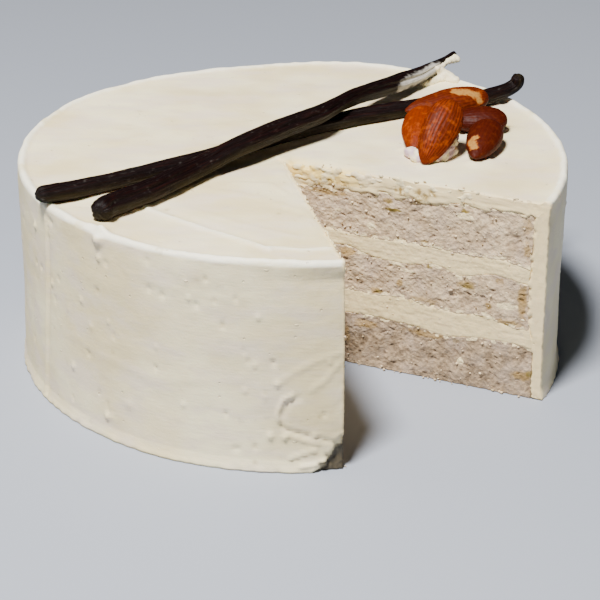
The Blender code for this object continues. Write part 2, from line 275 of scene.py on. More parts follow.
def gapward(side):
    # out of a cut's face, into the missing slice
    heading = math.radians(cake[side])
    turn = 1 if side == "rightCut" else -1
    return np.array((turn * math.sin(heading), -turn * math.cos(heading), 0.0))


def onCut(points, side):
    # distance along a cut from the slice's tip, and out of its face
    heading = math.radians(cake[side])
    x = points[:, 0] - cake["tip"][0]
    y = points[:, 1] - cake["tip"][1]
    out = gapward(side)
    return x * math.cos(heading) + y * math.sin(heading), x * out[0] + y * out[1]


def cutEdge(node, side, top):
    # the highest or lowest line of a layer on a cut, as distances and heights
    points = nodePoints(node)
    along, out = onCut(points, side)
    near = (np.abs(out) < cake["faceWithin"]) & (along > -0.5)
    along, heights = along[near], points[near, 2]
    order = np.argsort(along)
    stations = np.split(order, np.flatnonzero(np.diff(along[order]) > cake["stationGap"]) + 1)
    best = max if top else min
    return ([float(np.mean(along[station])) for station in stations],
            [float(best(heights[station])) for station in stations])


# Materials

def colour(red, green, blue):
    # a screen colour, 0 to 255, as the light it stands for
    parts = [part / 255 for part in (red, green, blue)]
    return tuple(p / 12.92 if p < 0.04045 else ((p + 0.055) / 1.055) ** 2.4 for p in parts) + (1.0,)


class Wire:
    # one socket of a material; sums on it add Math nodes
    def __init__(self, finish, socket):
        self.finish = finish
        self.socket = socket

    def maths(self, operation, first, second):
        return self.finish.node("ShaderNodeMath", {"operation": operation}, {0: first, 1: second})

    def __add__(self, other):
        return self.maths("ADD", self, other)

    def __radd__(self, other):
        return self.maths("ADD", other, self)

    def __sub__(self, other):
        return self.maths("SUBTRACT", self, other)

    def __rsub__(self, other):
        return self.maths("SUBTRACT", other, self)

    def __mul__(self, other):
        return self.maths("MULTIPLY", self, other)

    def __rmul__(self, other):
        return self.maths("MULTIPLY", other, self)


class Finish:
    # a material with one Principled shader; its tone is laid on coat by coat, in its look's colours
    def __init__(self, name, look=None, **fixed):
        self.look = look
        self.tone = None
        self.material = bpy.data.materials.new(name)
        self.material.use_nodes = True
        self.tree = self.material.node_tree
        self.shader = self.tree.nodes["Principled BSDF"]
        for socket, value in fixed.items():
            self.shader.inputs[socket.replace("_", " ")].default_value = value

    def node(self, kind, settings=None, sockets=None, out=0):
        made = self.tree.nodes.new(kind)
        for key, value in (settings or {}).items():
            if key == "stops":
                self.setStops(made.color_ramp, value)
            else:
                setattr(made, key, value)
        for key, value in (sockets or {}).items():
            self.put(made.inputs[key], value)
        return Wire(self, made.outputs[out])

    def setStops(self, ramp, stops):
        while len(ramp.elements) < len(stops):
            ramp.elements.new(1.0)
        for element, (place, shade) in zip(ramp.elements, stops):
            element.position = place
            element.color = shade

    def put(self, socket, value):
        if isinstance(value, Wire):
            self.tree.links.new(value.socket, socket)
        else:
            socket.default_value = value

    def feed(self, socket, wire):
        self.put(self.shader.inputs[socket], wire)

    def place(self):
        return self.node("ShaderNodeTexCoord", out="Object")

    def note(self, name, out="Fac"):
        return self.node("ShaderNodeAttribute", {"attribute_name": name}, out=out)

    def stretched(self, where, stretch):
        return self.node("ShaderNodeMapping", None, {"Vector": where, "Scale": stretch})

    def grain(self, where, scale, detail=3.0, roughness=0.55):
        return self.node("ShaderNodeTexNoise", None,
                         {"Vector": where, "Scale": scale, "Detail": detail, "Roughness": roughness})

    def streaks(self, where, stretch, scale=1.0, detail=3.0, roughness=0.55):
        return self.grain(self.stretched(where, stretch), scale, detail, roughness)

    def window(self, value, low, high):
        # 0 below low, 1 above high, eased between
        return self.node("ShaderNodeMapRange", {"interpolation_type": "SMOOTHSTEP"},
                         {"Value": value, "From Min": low, "From Max": high})

    def coat(self, name, share):
        # 0, 6 and 7 are the Mix node's factor and two colours, and 2 its colour output
        sockets = {0: share, 6: self.tone, 7: self.look[name]}
        self.tone = self.node("ShaderNodeMix", {"data_type": "RGBA"}, sockets, 2)

    def specks(self, where, scale, radius, share):
        # scattered dots: one in some of the cells of a Voronoi pattern
        cells = {"Vector": where, "Scale": scale}
        away = self.node("ShaderNodeTexVoronoi", None, cells, "Distance")
        draw = self.node("ShaderNodeTexVoronoi", None, cells, "Color")
        chosen = self.node("ShaderNodeSeparateColor", None, {"Color": draw})
        return self.window(away, radius, radius * 0.5) * self.window(chosen, share, share - 0.01)

    def complete(self, roughness, height, distance, strength=0.9):
        sockets = {"Height": height, "Distance": distance * mm, "Strength": strength}
        self.feed("Base Color", self.tone)
        self.feed("Roughness", roughness)
        self.feed("Normal", self.node("ShaderNodeBump", None, sockets))
        return self.material


creamLook = {
    "pale": colour(246, 234, 194),
    "deep": colour(228, 211, 162),
    "lilac": colour(228, 211, 192),
    "cut": colour(238, 214, 160),
    "torn": colour(248, 214, 128),
    "shaded": colour(192, 164, 182),
    "lip": colour(255, 248, 224),
    "crumb": colour(158, 128, 72),
    "chip": colour(76, 68, 52),
    "seed": colour(70, 50, 35),
    "smudge": colour(205, 190, 162),
    "stain": colour(150, 130, 74),
}


def makeCream(name, atCut):
    finish = Finish(name, creamLook, Subsurface_Weight=0.12, Subsurface_Radius=(1.0, 0.75, 0.5),
                    Subsurface_Scale=2 * mm, Specular_IOR_Level=0.4)
    where = finish.place()
    finish.tone = creamLook["pale"]
    finish.coat("deep", finish.window(finish.grain(where, 26), 0.35, 0.65))
    cloudy = finish.streaks(where, (0.5, 1.0, 1.6), 90, 4)
    broken = finish.window(cloudy, 0.25, 0.5)
    finish.coat("lilac", finish.window(cloudy, 0.42, 0.66) * 0.6)
    # painted highlight: a paler tone along the rim's lip and on the knife's high ridges on top
    finish.coat("lip", finish.note("lip") * broken)
    finish.coat("cut", 0.85 if atCut else finish.note("cut") * 0.8)
    finish.coat("torn", finish.note("torn") * broken)
    finish.coat("smudge", finish.window(finish.grain(where, 160), 0.66, 0.74) * 0.35)
    finish.coat("seed", finish.specks(where, 210, 0.045, 0.28) * 0.8)
    finish.coat("crumb", finish.note("thin") * finish.window(finish.grain(where, 700, 4), 0.35, 0.6))
    # dark specks, most on pits, and the right almonds' painted shadow on the cream beside them
    finish.coat("stain", finish.note("stain") * 0.8)
    # painted shade: in the chip's broken-out hollow, and on the dabs of cream beside the almonds
    for mark in ("chip", "shaded"):
        finish.coat(mark, finish.note(mark))
    fine = finish.grain(where, 1500, 4, 0.6)
    spread = finish.streaks(where, (0.35, 1.0, 2.2), 420)
    pits = finish.specks(where, 260, 0.12, 0.16)
    drops = finish.specks(finish.stretched(where, (0.6, 1.0, 1.2)), 200, 0.10, 0.12)
    relief = 0.35 * fine + 0.45 * spread - 1.5 * pits + 1.3 * drops
    return finish.complete(0.46 + 0.16 * cloudy, relief, 0.25)


spongeLook = {
    "hollow": colour(108, 90, 70),
    "shade": colour(172, 148, 119),
    "crumb": colour(210, 185, 150),
    "pale": colour(230, 209, 174),
    "grey": colour(190, 168, 146),
    "golden": colour(158, 126, 68),
    "olive": colour(128, 108, 50),
    "smear": colour(238, 218, 172),
    # painted shade by depth: pale on raised crumb, darker down in the pores
    "byDepth": ((0.0, "pale"), (0.32, "crumb"), (0.62, "shade"), (1.0, "hollow")),
}


def makeSponge():
    finish = Finish("spongeCrumb", spongeLook, Subsurface_Weight=0.06, Subsurface_Radius=(1.0, 0.6, 0.35),
                    Subsurface_Scale=1.5 * mm, Specular_IOR_Level=0.25)
    where = finish.place()
    grain = finish.grain(where, 1100, 4, 0.65)
    coarse = finish.grain(where, 430)
    shade = finish.note("hollow") + 0.45 * (grain - 0.5) + 0.4 * (coarse - 0.5)
    stops = [(place, spongeLook[name]) for place, name in spongeLook["byDepth"]]
    finish.tone = finish.node("ShaderNodeValToRGB", {"stops": stops}, {"Fac": shade})
    finish.coat("grey", finish.window(finish.grain(where, 150, 4), 0.42, 0.68) * 0.65)
    ragged = 0.9 * (finish.grain(where, 520, 5) - 0.5)
    for name, strength in (("golden", 0.75), ("olive", 1.0)):
        finish.coat(name, finish.window(finish.note(name) + ragged, 0.15, 1.0) * strength)
    finish.coat("smear", finish.window(finish.note("smear"), 0.35, 0.6))
    fine = finish.grain(where, 2600, 3, 0.6)
    return finish.complete(0.8 + 0.15 * grain, grain + 0.5 * fine, 0.35)


podLook = {
    "dark": colour(10, 2, 2),
    "brown": colour(30, 8, 5),
    # olive is painted bounce light from the cream, on the pods' undersides
    "olive": colour(36, 29, 10),
    "dust": colour(66, 48, 44),
    "film": colour(206, 200, 190),
}


def makePod():
    finish = Finish("podSkin", podLook, Specular_IOR_Level=0.12)
    skin = finish.note("skin", "Vector")
    lines = finish.streaks(skin, (2.4, 2.4, 0.12), detail=4, roughness=0.6)
    patches = finish.streaks(skin, (0.5, 0.5, 0.08))
    finish.tone = podLook["dark"]
    finish.coat("brown", finish.window(lines, 0.48, 0.72))
    # painted light: the undersides lit olive, as by light bounced off the cream
    finish.coat("olive", finish.note("under") * finish.window(patches, 0.35, 0.65) * 0.75)
    finish.coat("dust", finish.window(finish.streaks(skin, (3.0, 3.0, 0.3), detail=4), 0.68, 0.8) * 0.1)
    cloudy = finish.streaks(skin, (1.0, 1.0, 0.5))
    finish.coat("film", finish.window(finish.note("film") + 1.1 * (cloudy - 0.5), 0.1, 1.15) * 0.85)
    fine = finish.streaks(skin, (5.0, 5.0, 0.7), detail=4, roughness=0.6)
    return finish.complete(0.36 + 0.3 * patches, lines + 0.35 * fine, 0.35)


almondLook = {
    "groove": colour(80, 24, 0),
    "skin": colour(110, 36, 0),
    "light": colour(150, 64, 0),
    "maroon": colour(38, 4, 3),
    "bare": colour(160, 116, 58),
    "bareEdge": colour(126, 62, 14),
}


def makeAlmond(name, dark):
    finish = Finish(name, almondLook, Specular_IOR_Level=0.07, Coat_Weight=0.04, Coat_Roughness=0.35,
                    Subsurface_Weight=0.05, Subsurface_Radius=(1.0, 0.4, 0.2), Subsurface_Scale=1 * mm)
    skin = finish.note("skin", "Vector")
    mottle = finish.grain(skin, 0.45, 4, 0.6)
    finish.tone = almondLook["groove"]
    finish.coat("skin", finish.window(finish.note("ridge"), 0.25, 0.8))
    finish.coat("light", finish.window(mottle, 0.45, 0.7) * 0.7)
    broad = finish.window(finish.grain(skin, 0.13, 2), 0.4, 0.65)
    # maroon: partly the almond's own darker skin, partly painted shade on the right pair, which faces away
    # from the light
    finish.coat("maroon", dark + (0.14 - 0.14 * dark) * broad)
    flaked = finish.note("bare") + 1.1 * (finish.grain(skin, 1.1, 5) - 0.5)
    finish.coat("bareEdge", finish.window(flaked, 0.25, 0.6))
    finish.coat("bare", finish.window(flaked, 0.5, 1.1))
    fine = finish.streaks(skin, (0.5, 2.2, 2.2), detail=4, roughness=0.6)
    return finish.complete(0.42 + 0.25 * mottle, fine, 0.22, 0.8)


print("materials")
creamFinish = makeCream("creamCoat", False)
fillingFinish = makeCream("creamFilling", True)
spongeFinish = makeSponge()
podFinish = makePod()


# Vanilla pods: (x, y, z, radius) along each, as they lie

pods = {
    "vanilla_pod_under": {
        "route": ((-80.6, -47.6, 73.7, 2.4), (-78.8, -46.2, 73.4, 2.8), (-74.4, -43.2, 72.9, 3.0),
                  (-68.8, -39.7, 72.6, 3.0), (-55.7, -30.9, 72.5, 2.9), (-39.7, -19.9, 72.5, 2.9),
                  (-27.8, -11.1, 72.4, 2.8), (-9.2, 5.8, 72.3, 2.8), (14.3, 22.7, 72.3, 2.8),
                  (28.8, 30.2, 72.4, 2.9), (49.9, 40.0, 72.4, 2.8), (64.0, 44.9, 72.7, 2.7),
                  (71.3, 48.9, 73.3, 2.5), (75.2, 51.3, 74.1, 2.4), (77.3, 51.9, 75.9, 2.4),
                  (77.6, 51.1, 79.0, 2.4)),
        "seed": 3.0,
    },
    "vanilla_pod_over": {
        "route": ((-60.2, -61.1, 73.6, 3.1), (-59.4, -58.6, 73.5, 3.5), (-57.6, -54.6, 73.3, 3.6),
                  (-54.1, -51.1, 73.2, 3.6), (-44.6, -41.0, 73.2, 3.7), (-33.3, -26.2, 73.4, 3.6),
                  (-27.5, -19.7, 74.2, 3.5), (-21.2, -13.8, 75.6, 3.4), (-15.2, -8.3, 76.4, 3.4),
                  (-9.0, -1.9, 76.8, 3.4), (-2.8, 4.0, 77.4, 3.4), (4.3, 10.3, 77.9, 3.3),
                  (8.1, 14.0, 78.1, 3.1), (14.3, 22.3, 78.4, 2.6), (20.6, 32.4, 77.6, 2.9),
                  (29.2, 45.3, 75.6, 3.2), (36.6, 56.3, 74.2, 3.2), (43.0, 64.9, 73.5, 2.8),
                  (48.5, 72.7, 73.5, 2.3), (53.7, 79.9, 73.9, 1.6), (57.6, 85.8, 75.0, 0.9)),
        "seed": 8.0,
    },
}
podShape = {
    "around": 96,
    "step": 0.6,              # between rings
    "evening": 6,             # how often the radius is evened out
    "flattening": 0.05,
    # long folds, wrinkles and creases across: height as a share of the radius, how many round, length
    "folds": ((0.12, 1.6, 45.0), (0.06, 4.2, 14.0), (0.018, 1.2, 3.0)),
    # angle, depth and width of each groove, and how far it wanders
    "grooves": ((0.9, 0.15, 0.20), (2.9, 0.12, 0.16), (4.3, 0.18, 0.22), (5.5, 0.10, 0.14)),
    "wander": 0.8,
    "dome": 0.9,              # length of the rounded ends, as a share of the radius
}
# a smear of cream over the upper pod's right end, on its near side
podFilm = ((36.5, 50.4, 73.4), (37.5, 51.7, 74.2), (40.8, 56.6, 74.4), (43.8, 61.2, 74.2), (46.9, 66.0, 74.2),
           (49.2, 70.0, 74.4), (51.6, 73.3, 73.5))


def smoothRoute(route, step):
    # evenly spaced (x, y, z, radius) on a smooth curve through a route, and how far along each is
    ends = np.array([route[0]] + list(route) + [route[-1]])
    dense = []
    for p, q, r, s in zip(ends, ends[1:], ends[2:], ends[3:]):
        for t in np.arange(0, 1, 1 / 16):
            dense.append(0.5 * (2 * q + (r - p) * t + (2 * p - 5 * q + 4 * r - s) * t * t
                                + (3 * q - p - 3 * r + s) * t ** 3))
    dense = np.array(dense + [ends[-1]])
    lengths = np.concatenate([[0], np.cumsum(np.linalg.norm(np.diff(dense[:, :3], axis=0), axis=1))])
    wanted = np.linspace(0, lengths[-1], round(lengths[-1] / step) + 1)
    return np.column_stack([np.interp(wanted, lengths, dense[:, k]) for k in range(4)]), wanted


def makePodPiece(node, pod):
    shape = podShape
    spots, lengths = smoothRoute(pod["route"], shape["step"])
    centres, radii = spots[:, :3], spots[:, 3]
    for _ in range(shape["evening"]):
        radii[1:-1] = (radii[:-2] + radii[2:]) / 2
    ahead = np.gradient(centres, axis=0)
    ahead /= np.linalg.norm(ahead, axis=1)[:, None]
    rows = len(centres) - 1
    piece, column, row = sheet(node + "_skin", shape["around"], rows)
    ups = []
    up = np.array((0.0, 0.0, 1.0))
    for direction in ahead:
        up = up - direction * (up @ direction)
        up = up / np.linalg.norm(up)
        ups.append(up)
    ups = np.array(ups)
    asides = np.cross(ahead, ups)
    turn = 2 * math.pi * column / shape["around"] + math.pi
    along = lengths[row]
    ring = np.column_stack([np.cos(turn), np.sin(turn), along])
    long, fine, crossing = (noiseAt(ring * (count, count, 1 / length), 1.0, pod["seed"] + number)
                            for number, (_, count, length) in enumerate(shape["folds"]))
    folds, wrinkles, creases = (height for height, _, _ in shape["folds"])
    uneven = 1 + folds * long + wrinkles * (1 - np.abs(fine) * 2.2) + creases * crossing
    for start, depth, width in shape["grooves"]:
        lane = onPlane(along / 60, 0 * along) + (0, 0, start)
        drift = shape["wander"] * noiseAt(lane, 1.0, pod["seed"] + 4)
        gap = np.abs((turn - start - drift + math.pi) % (2 * math.pi) - math.pi)
        uneven -= depth * np.exp(-(gap / width) ** 2)
    # both ends close over a short dome
    toEnd = np.minimum(along, lengths[-1] - along)
    risen = np.clip(toEnd / (shape["dome"] * radii[row]), 0, 1)
    dome = np.sqrt(np.clip(1 - (1 - risen) ** 2, 0, 1))
    radius = radii[row] * uneven * dome
    across = np.sin(turn) * (1 + shape["flattening"])
    rise = np.cos(turn) * (1 - shape["flattening"])
    points = centres[row] + (ups[row] * rise[:, None] + asides[row] * across[:, None]) * radius[:, None]
    writePoints(piece, points)
    noteSpot(piece, "skin", ring * (radii[row].mean(), radii[row].mean(), 1.0))
    # the underside, which takes the painted bounce light
    noteValue(piece, "under", ease(-np.cos(turn), -0.35, 0.2))
    away = awayFrom(points, podFilm) + 0.7 * noiseAt(points, 1.8, 9)
    noteValue(piece, "film", 1 - ease(away, 0.8, 3.2))
    weld(piece)
    deliver(piece, podFinish, "vanilla_pod", node)


print("vanilla pods")
for node, pod in pods.items():
    makePodPiece(node, pod)


# Icing: one coat over the top and round the side, ragged where the slice was cut out

icing = {
    "columns": ((-23.6, 195.0, 205), (195.0, 283.1, 245)),   # finer where the front marks are
    "topRows": 64,
    "rim": ((8.0, 0.0), (5.6, 0.02), (4.0, 0.06), (3.1, 0.22), (2.3, 0.72), (1.6, 1.02), (1.0, 1.0),
            (0.45, 0.66), (0.12, 0.1), (0.0, -0.5), (0.0, -1.0)),   # in from the edge, up from the top
    "rimStep": 0.42,
    "sideStep": 0.88,
    "footStep": 0.5,
    "footTop": 4.5,
    "foot": 0.05,                  # how far above the floor the coat ends
    # rows of the unseen inside: heights up the wall, then shares of the way out under the top
    "innerHeights": (5, 10, 15, 20, 26, 33, 40, 47, 53, 59),
    "innerShares": (0.9, 0.8, 0.65, 0.5, 0.35, 0.2, 0.0),
    "lump": (54.6, 2.2, 3.6),      # heading, height and size of the lump under a pod's end
    # the wall's thickness: heights, then how thick at each
    "thickness": ((0.0, 18.4, 26.3, 41.0, 47.2, 65.0), (2.2, 2.4, 4.2, 4.7, 4.2, 3.8)),
    "lap": 1.8,                    # how far the coat's unseen inside reaches into the sponge
    "drawnBack": 0.6,              # how far that inside stays back from both cuts
    "capSteps": 18,
    "capSeeds": {"rightCut": 31, "leftCut": 41},
    "ring": 0.4,                   # between the cap's inner edge and the coat's inside
    # unevenness round the lip, in height and outwards: height, how many to a radian, seed
    "lipWaves": ((0.30, 9, 2), (0.28, 26, 3)),
    "edgeWaves": ((0.30, 11, 4), (0.22, 30, 5)),
    # soft bumps: height, size, seed
    "topBumps": ((0.26, 9, 4), (0.14, 3.6, 5)),
    "sideBumps": ((0.22, 16, 6), (0.12, 5, 7), (0.06, 2.0, 8)),
    "cutBumps": ((0.16, 5.0, 0), (0.13, 1.7, 1)),
    "bite": ((0.32, 1.5, 21), (0.25, 0.7, 22)),
    "drag": ((0.9, 2.2, 26), (0.4, 0.9, 27)),
    "ruffle": ((0.30, 2.0, 33), (0.16, 0.8, 34)),
    "podBank": (0.75, 70.6, 1.5),      # cream beside the pods: height, for undersides below, width
    "almondBank": (0.9, 2.2, 1.4),     # beside the almonds: height, over how much of their foot, width
    "topFrom": 68.5,                   # the lowest height that counts as the top
    # small bumps and pits: count, seed, across, up, radii, heights
    "topScatter": (110, 11, (-88, 88), (-88, 88), (0.7, 1.1), (0.12, 0.35)),
    "sideScatter": (190, 12, (-283, 283), (2, 66), (0.6, 0.95), (0.3, 0.8)),
    # where the knife dragged the top cream down: how far in from the cut, where it begins and ends
    "torn": ((0.4, 5.5), (0.5, 3.0), (20.0, 34.0)),
}

# what the palette knife left, as (width, height, route) with (x, y) places on top
topMarks = (
    (0.8, 0.70, ((-58, -38), (-50.1, -44.2), (-38, -54.5), (-29, -62), (-7.3, -78.3))),
    (1.6, -0.22, ((-57, -35.5), (-48, -42), (-27, -59.5), (-6, -75.5))),
    (0.7, 0.45, ((-7.3, -76.5), (2, -78.2), (13.7, -75.8))),
    (0.9, 0.22, ((-34, -46), (-18, -58), (0, -68))),
    (1.4, 0.22, ((-30, -30), (-12, -38), (2, -48))),
    (0.9, 0.25, ((-20, -26), (-8, -27), (-3, -34))),
    (1.2, 0.12, ((-60, 10), (-40, 22), (-18, 28))),
    (1.5, -0.08, ((-66, 24), (-40, 44), (-10, 56))),
    (1.0, 0.10, ((20, 10), (34, -8), (40, -22))),
    (1.2, 0.10, ((52, -22), (66, -12), (76, 4))),
    (1.0, 0.35, ((-5.2, -3.2), (-1.5, -5.5), (1.5, -8.6))),
)
# bumps and pits, as (x, y, radius, height)
topDots = ((-49, 14.6, 0.7, 0.35), (-47.3, 15.2, 0.5, -0.3), (-54.3, 39.3, 0.5, -0.25),
           (-56.9, 26.7, 0.5, -0.25), (-40, -47, 0.8, -0.3), (-38, -52, 0.5, -0.3), (-6, -52, 0.7, -0.25),
           (-59.0, -66.4, 2.0, 1.7), (30, -19, 0.8, 0.3), (45, -20, 0.8, 0.3), (26, -10, 0.9, 0.35),
           (33, -4, 1.0, 0.35), (31.5, -6, 0.7, 0.3))
# the same on the side, with (angle round the middle, height) places
sideMarks = (
    (0.5, 0.60, ((-149.7, 66), (-150.5, 45), (-152, 20), (-153.2, 2))),
    (0.8, -0.40, ((-148.6, 66), (-149.5, 45), (-151, 20), (-152, 2))),
    (0.55, 0.75, ((-90.1, 26.2), (-92.1, 24.5), (-93.2, 19.9), (-92.8, 16.5))),
    (0.8, -0.35, ((-89.0, 25.4), (-91.0, 23.7), (-92.0, 19.5))),
    (0.5, -0.6, ((-92.8, 16.5), (-91.7, 14.5), (-88.1, 12.8), (-84.8, 11.2), (-81.5, 9.5))),
    (0.55, 0.5, ((-91.0, 12.6), (-88.0, 10.6), (-85.0, 9.6))),
    (0.55, 0.6, ((-90.7, 4.4), (-87.7, 6.5), (-85.6, 7.4))),
    (0.7, 0.7, ((-88.5, 2.0), (-86.1, 2.5), (-82.8, 4.3))),
    (1.0, 0.30, ((-86.5, 28), (-84, 31), (-81.5, 36))),
    (1.0, 0.25, ((-93, 30), (-90.7, 33.1), (-86, 37.5), (-80.1, 40.9))),
    (0.6, -0.4, ((-130.4, 12), (-130.2, 9))),
    (1.0, 0.10, ((-125, 60), (-105, 57), (-90, 58))),
    (1.5, 0.12, ((-140, 30), (-120, 26), (-100, 30))),
)
sideDots = ((-131.6, 67.6, 1.9, 1.7), (-130.3, 7.4, 1.0, 0.9), (-94.5, 12.1, 1.1, 0.9),
            (-91.7, 11.8, 1.0, 0.85), (-85.9, 12.0, 0.9, 0.85), (-107.2, 62.7, 0.8, -0.6),
            (-101.3, 57.2, 0.8, -0.6), (-96.9, 51.8, 0.8, 0.6), (-103.9, 48.1, 0.9, -0.6),
            (-124.6, 14.6, 1.6, 0.4), (-97.5, 8.1, 0.9, -0.6), (-101.5, 6.8, 0.9, -0.5),
            (-155.5, 59.2, 0.9, 0.9), (-132.3, 50.2, 0.7, -0.5), (-84.0, 19.5, 0.7, -0.5),
            (-99.5, 27.0, 0.8, 0.5), (-83.0, 37.2, 0.8, 0.5))
# dark specks in the cream, most of them on pits; the first two on top are the right almonds' painted shadow:
# (x, y, radius, strength) on top, (angle, height, radius, strength) on the side
topSpecksAndShadow = ((72.1, 26.3, 1.5, 1.0), (71.0, 25.9, 1.2, 1.0), (-54.3, 39.3, 0.8, 0.5), (-56.9, 26.7, 0.8, 0.5),
             (-40, -47, 0.9, 0.6), (-38, -52, 0.7, 0.5), (-5, -51, 0.8, 0.6), (-27, 8, 0.7, 0.4))
sideSpecks = ((-132.3, 50.2, 0.7, 0.6), (-85.0, 19.0, 0.7, 0.6), (-97.5, 3.0, 0.7, 0.5),
              (-95.5, 27.0, 0.7, 0.4), (-108.9, 62.2, 0.9, 0.4), (-128.5, 31.0, 0.7, 0.3),
              (-97.5, 8.1, 0.8, 0.4), (-103.9, 48.1, 0.7, 0.4))
# where crumb shows through the cream: x, y, z and radius
thinPatches = ((8.0, -10.6, 64.0, 2.4), (12.5, -12.6, 63.8, 2.6), (16.5, -14.4, 63.6, 2.4),
               (34.5, -22.4, 65.4, 2.6), (40.5, -25.0, 64.8, 3.0), (44.0, -26.6, 66.4, 1.6),
               (57.0, -32.2, 64.6, 1.8))
# broken out beside the left cut's foot, and darkened there with painted shade: its corner, width and reach
# are angles
chip = {"corner": -80.3, "wide": 6.4, "reach": 12, "tall": 11.5, "depth": 1.9, "edge": (0.72, 1.02)}


def scatterDots(count, seed, across, up, radius, height):
    # twice as many pits as bumps
    draw = random.Random(seed)
    return tuple((draw.uniform(*across), draw.uniform(*up), draw.uniform(*radius),
                  draw.choice((-1, -1, 1)) * draw.uniform(*height)) for _ in range(count))


def rimRows():
    # the lip's section at even steps, with its corners softened
    rim = np.array(icing["rim"])
    lengths = np.concatenate([[0], np.cumsum(np.hypot(*np.diff(rim, axis=0).T))])
    wanted = np.linspace(0, lengths[-1], round(lengths[-1] / icing["rimStep"]) + 1)
    spots = np.column_stack([np.interp(wanted, lengths, rim[:, k]) for k in (0, 1)])
    spots[1:-1] = (spots[:-2] + 2 * spots[1:-1] + spots[2:]) / 4
    return spots


def outerRows():
    # for each row from the slice's tip to the foot: share of the top, way in from the edge, height
    rows = [(share, icing["rim"][0][0], cake["top"]) for share in np.linspace(0, 1, icing["topRows"])[:-1]]
    rows += [(1.0, inset, cake["top"] + rise) for inset, rise in rimRows()]
    low = rows[-1][2]
    count = round((low - icing["footTop"]) / icing["sideStep"])
    rows += [(1.0, 0.0, height) for height in np.linspace(low, icing["footTop"], count + 1)[1:]]
    count = round(icing["footTop"] / icing["footStep"])
    rows += [(1.0, 0.0, height) for height in np.linspace(icing["footTop"], icing["foot"], count + 1)[1:]]
    return np.array(rows)


def raiseRing(total, spots, x, y, radius, width, within):
    # a soft ring round a place, up to 1 high, where it stands above what is there
    away = np.hypot(spots[:, 0] - x, spots[:, 1] - y)
    near = away < within
    total[near] = np.maximum(total[near], np.exp(-((away[near] - radius) / width) ** 2))


def nearPods(spots):
    # cream pushed up along the pods where they lie in it
    height, below, width = icing["podBank"]
    total = np.zeros(len(spots))
    for pod in pods.values():
        route, _ = smoothRoute(pod["route"], 1.5)
        for x, y, z, radius in route:
            if z - radius <= below:
                raiseRing(total, spots, x, y, 0.6 * radius, width, radius + 3)
    return height * total


def nearAlmonds(spots):
    height, foot, width = icing["almondBank"]
    total = np.zeros(len(spots))
    for node in [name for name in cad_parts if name.startswith("almond")]:
        points = nodePoints(node)
        low = points[points[:, 2] < points[:, 2].min() + foot]
        for x, y in low[::3, :2]:
            raiseRing(total, spots, x, y, 0, width, 4)
    return height * total


def topRelief(points):
    spots = points[:, :2]
    flat = onPlane(*spots.T)
    lift = 0.34 * noiseAt(flat, 36, 3) + bumpsOn(flat * (0.45, 1.0, 1.0), icing["topBumps"])
    lift += marksOn(spots, topMarks) + dotsOn(spots, topDots)
    lift += dotsOn(spots, scatterDots(*icing["topScatter"]))
    return lift + nearPods(spots) + nearAlmonds(spots)


def sideRelief(angles, heights):
    arc = np.radians(angles) * cake["radius"]
    flat = onPlane(arc, heights)
    lift = sum(height * noiseAt(flat * (stretch, 1.0, 1.0), size, seed)
               for (height, size, seed), stretch in zip(icing["sideBumps"], (0.5, 0.6, 1.0)))
    toArc = math.radians(1) * cake["radius"]
    marks = [(width, height, [(a * toArc, z) for a, z in route]) for width, height, route in sideMarks]
    dots = [(a * toArc, *dot) for a, *dot in sideDots]
    dots += scatterDots(*icing["sideScatter"])
    return lift + marksOn(flat[:, :2], marks) + dotsOn(flat[:, :2], dots)


def raggedness(points):
    # how near a point is to either cut, from 0 to 1
    near = np.zeros(len(points))
    for side in ("rightCut", "leftCut"):
        along, out = onCut(points, side)
        near = np.maximum(near, np.where(along > -1.5, np.exp(-(out / 1.6) ** 2), 0))
    return near


def creamRelief(points, side, seed):
    # how far cream stands out of a cut's face
    along, _ = onCut(points, side)
    flat = onPlane(along, points[:, 2])
    dragged = 0.07 * noiseAt(flat, 0.7, seed + 2) + 0.08 * noiseAt(flat * (0.15, 1.0, 1.0), 0.9, seed + 3)
    return bumpsOn(flat, icing["cutBumps"], seed) + dragged


def tornAt(points):
    # the top cream beside the right cut's tip, dragged down by the knife
    along, out = onCut(points, "rightCut")
    depth, start, end = icing["torn"]
    return (out < 1.5) * (1 - ease(-out, *depth)) * ease(along, *start) * (1 - ease(along, *end))


def chipAt(points, angles, heights):
    away = heights / chip["tall"] + (chip["corner"] - angles) / chip["wide"]
    away += 0.25 * noiseAt(points, 2.0, 24)
    return np.where(np.abs(angles - chip["corner"]) < chip["reach"], 1 - ease(away, *chip["edge"]), 0.0)


def wavesRound(heading, waves):
    ring = onPlane(heading, 0 * heading)
    return sum(height * noiseAt(count * ring, 1.0, seed) for height, count, seed in waves)


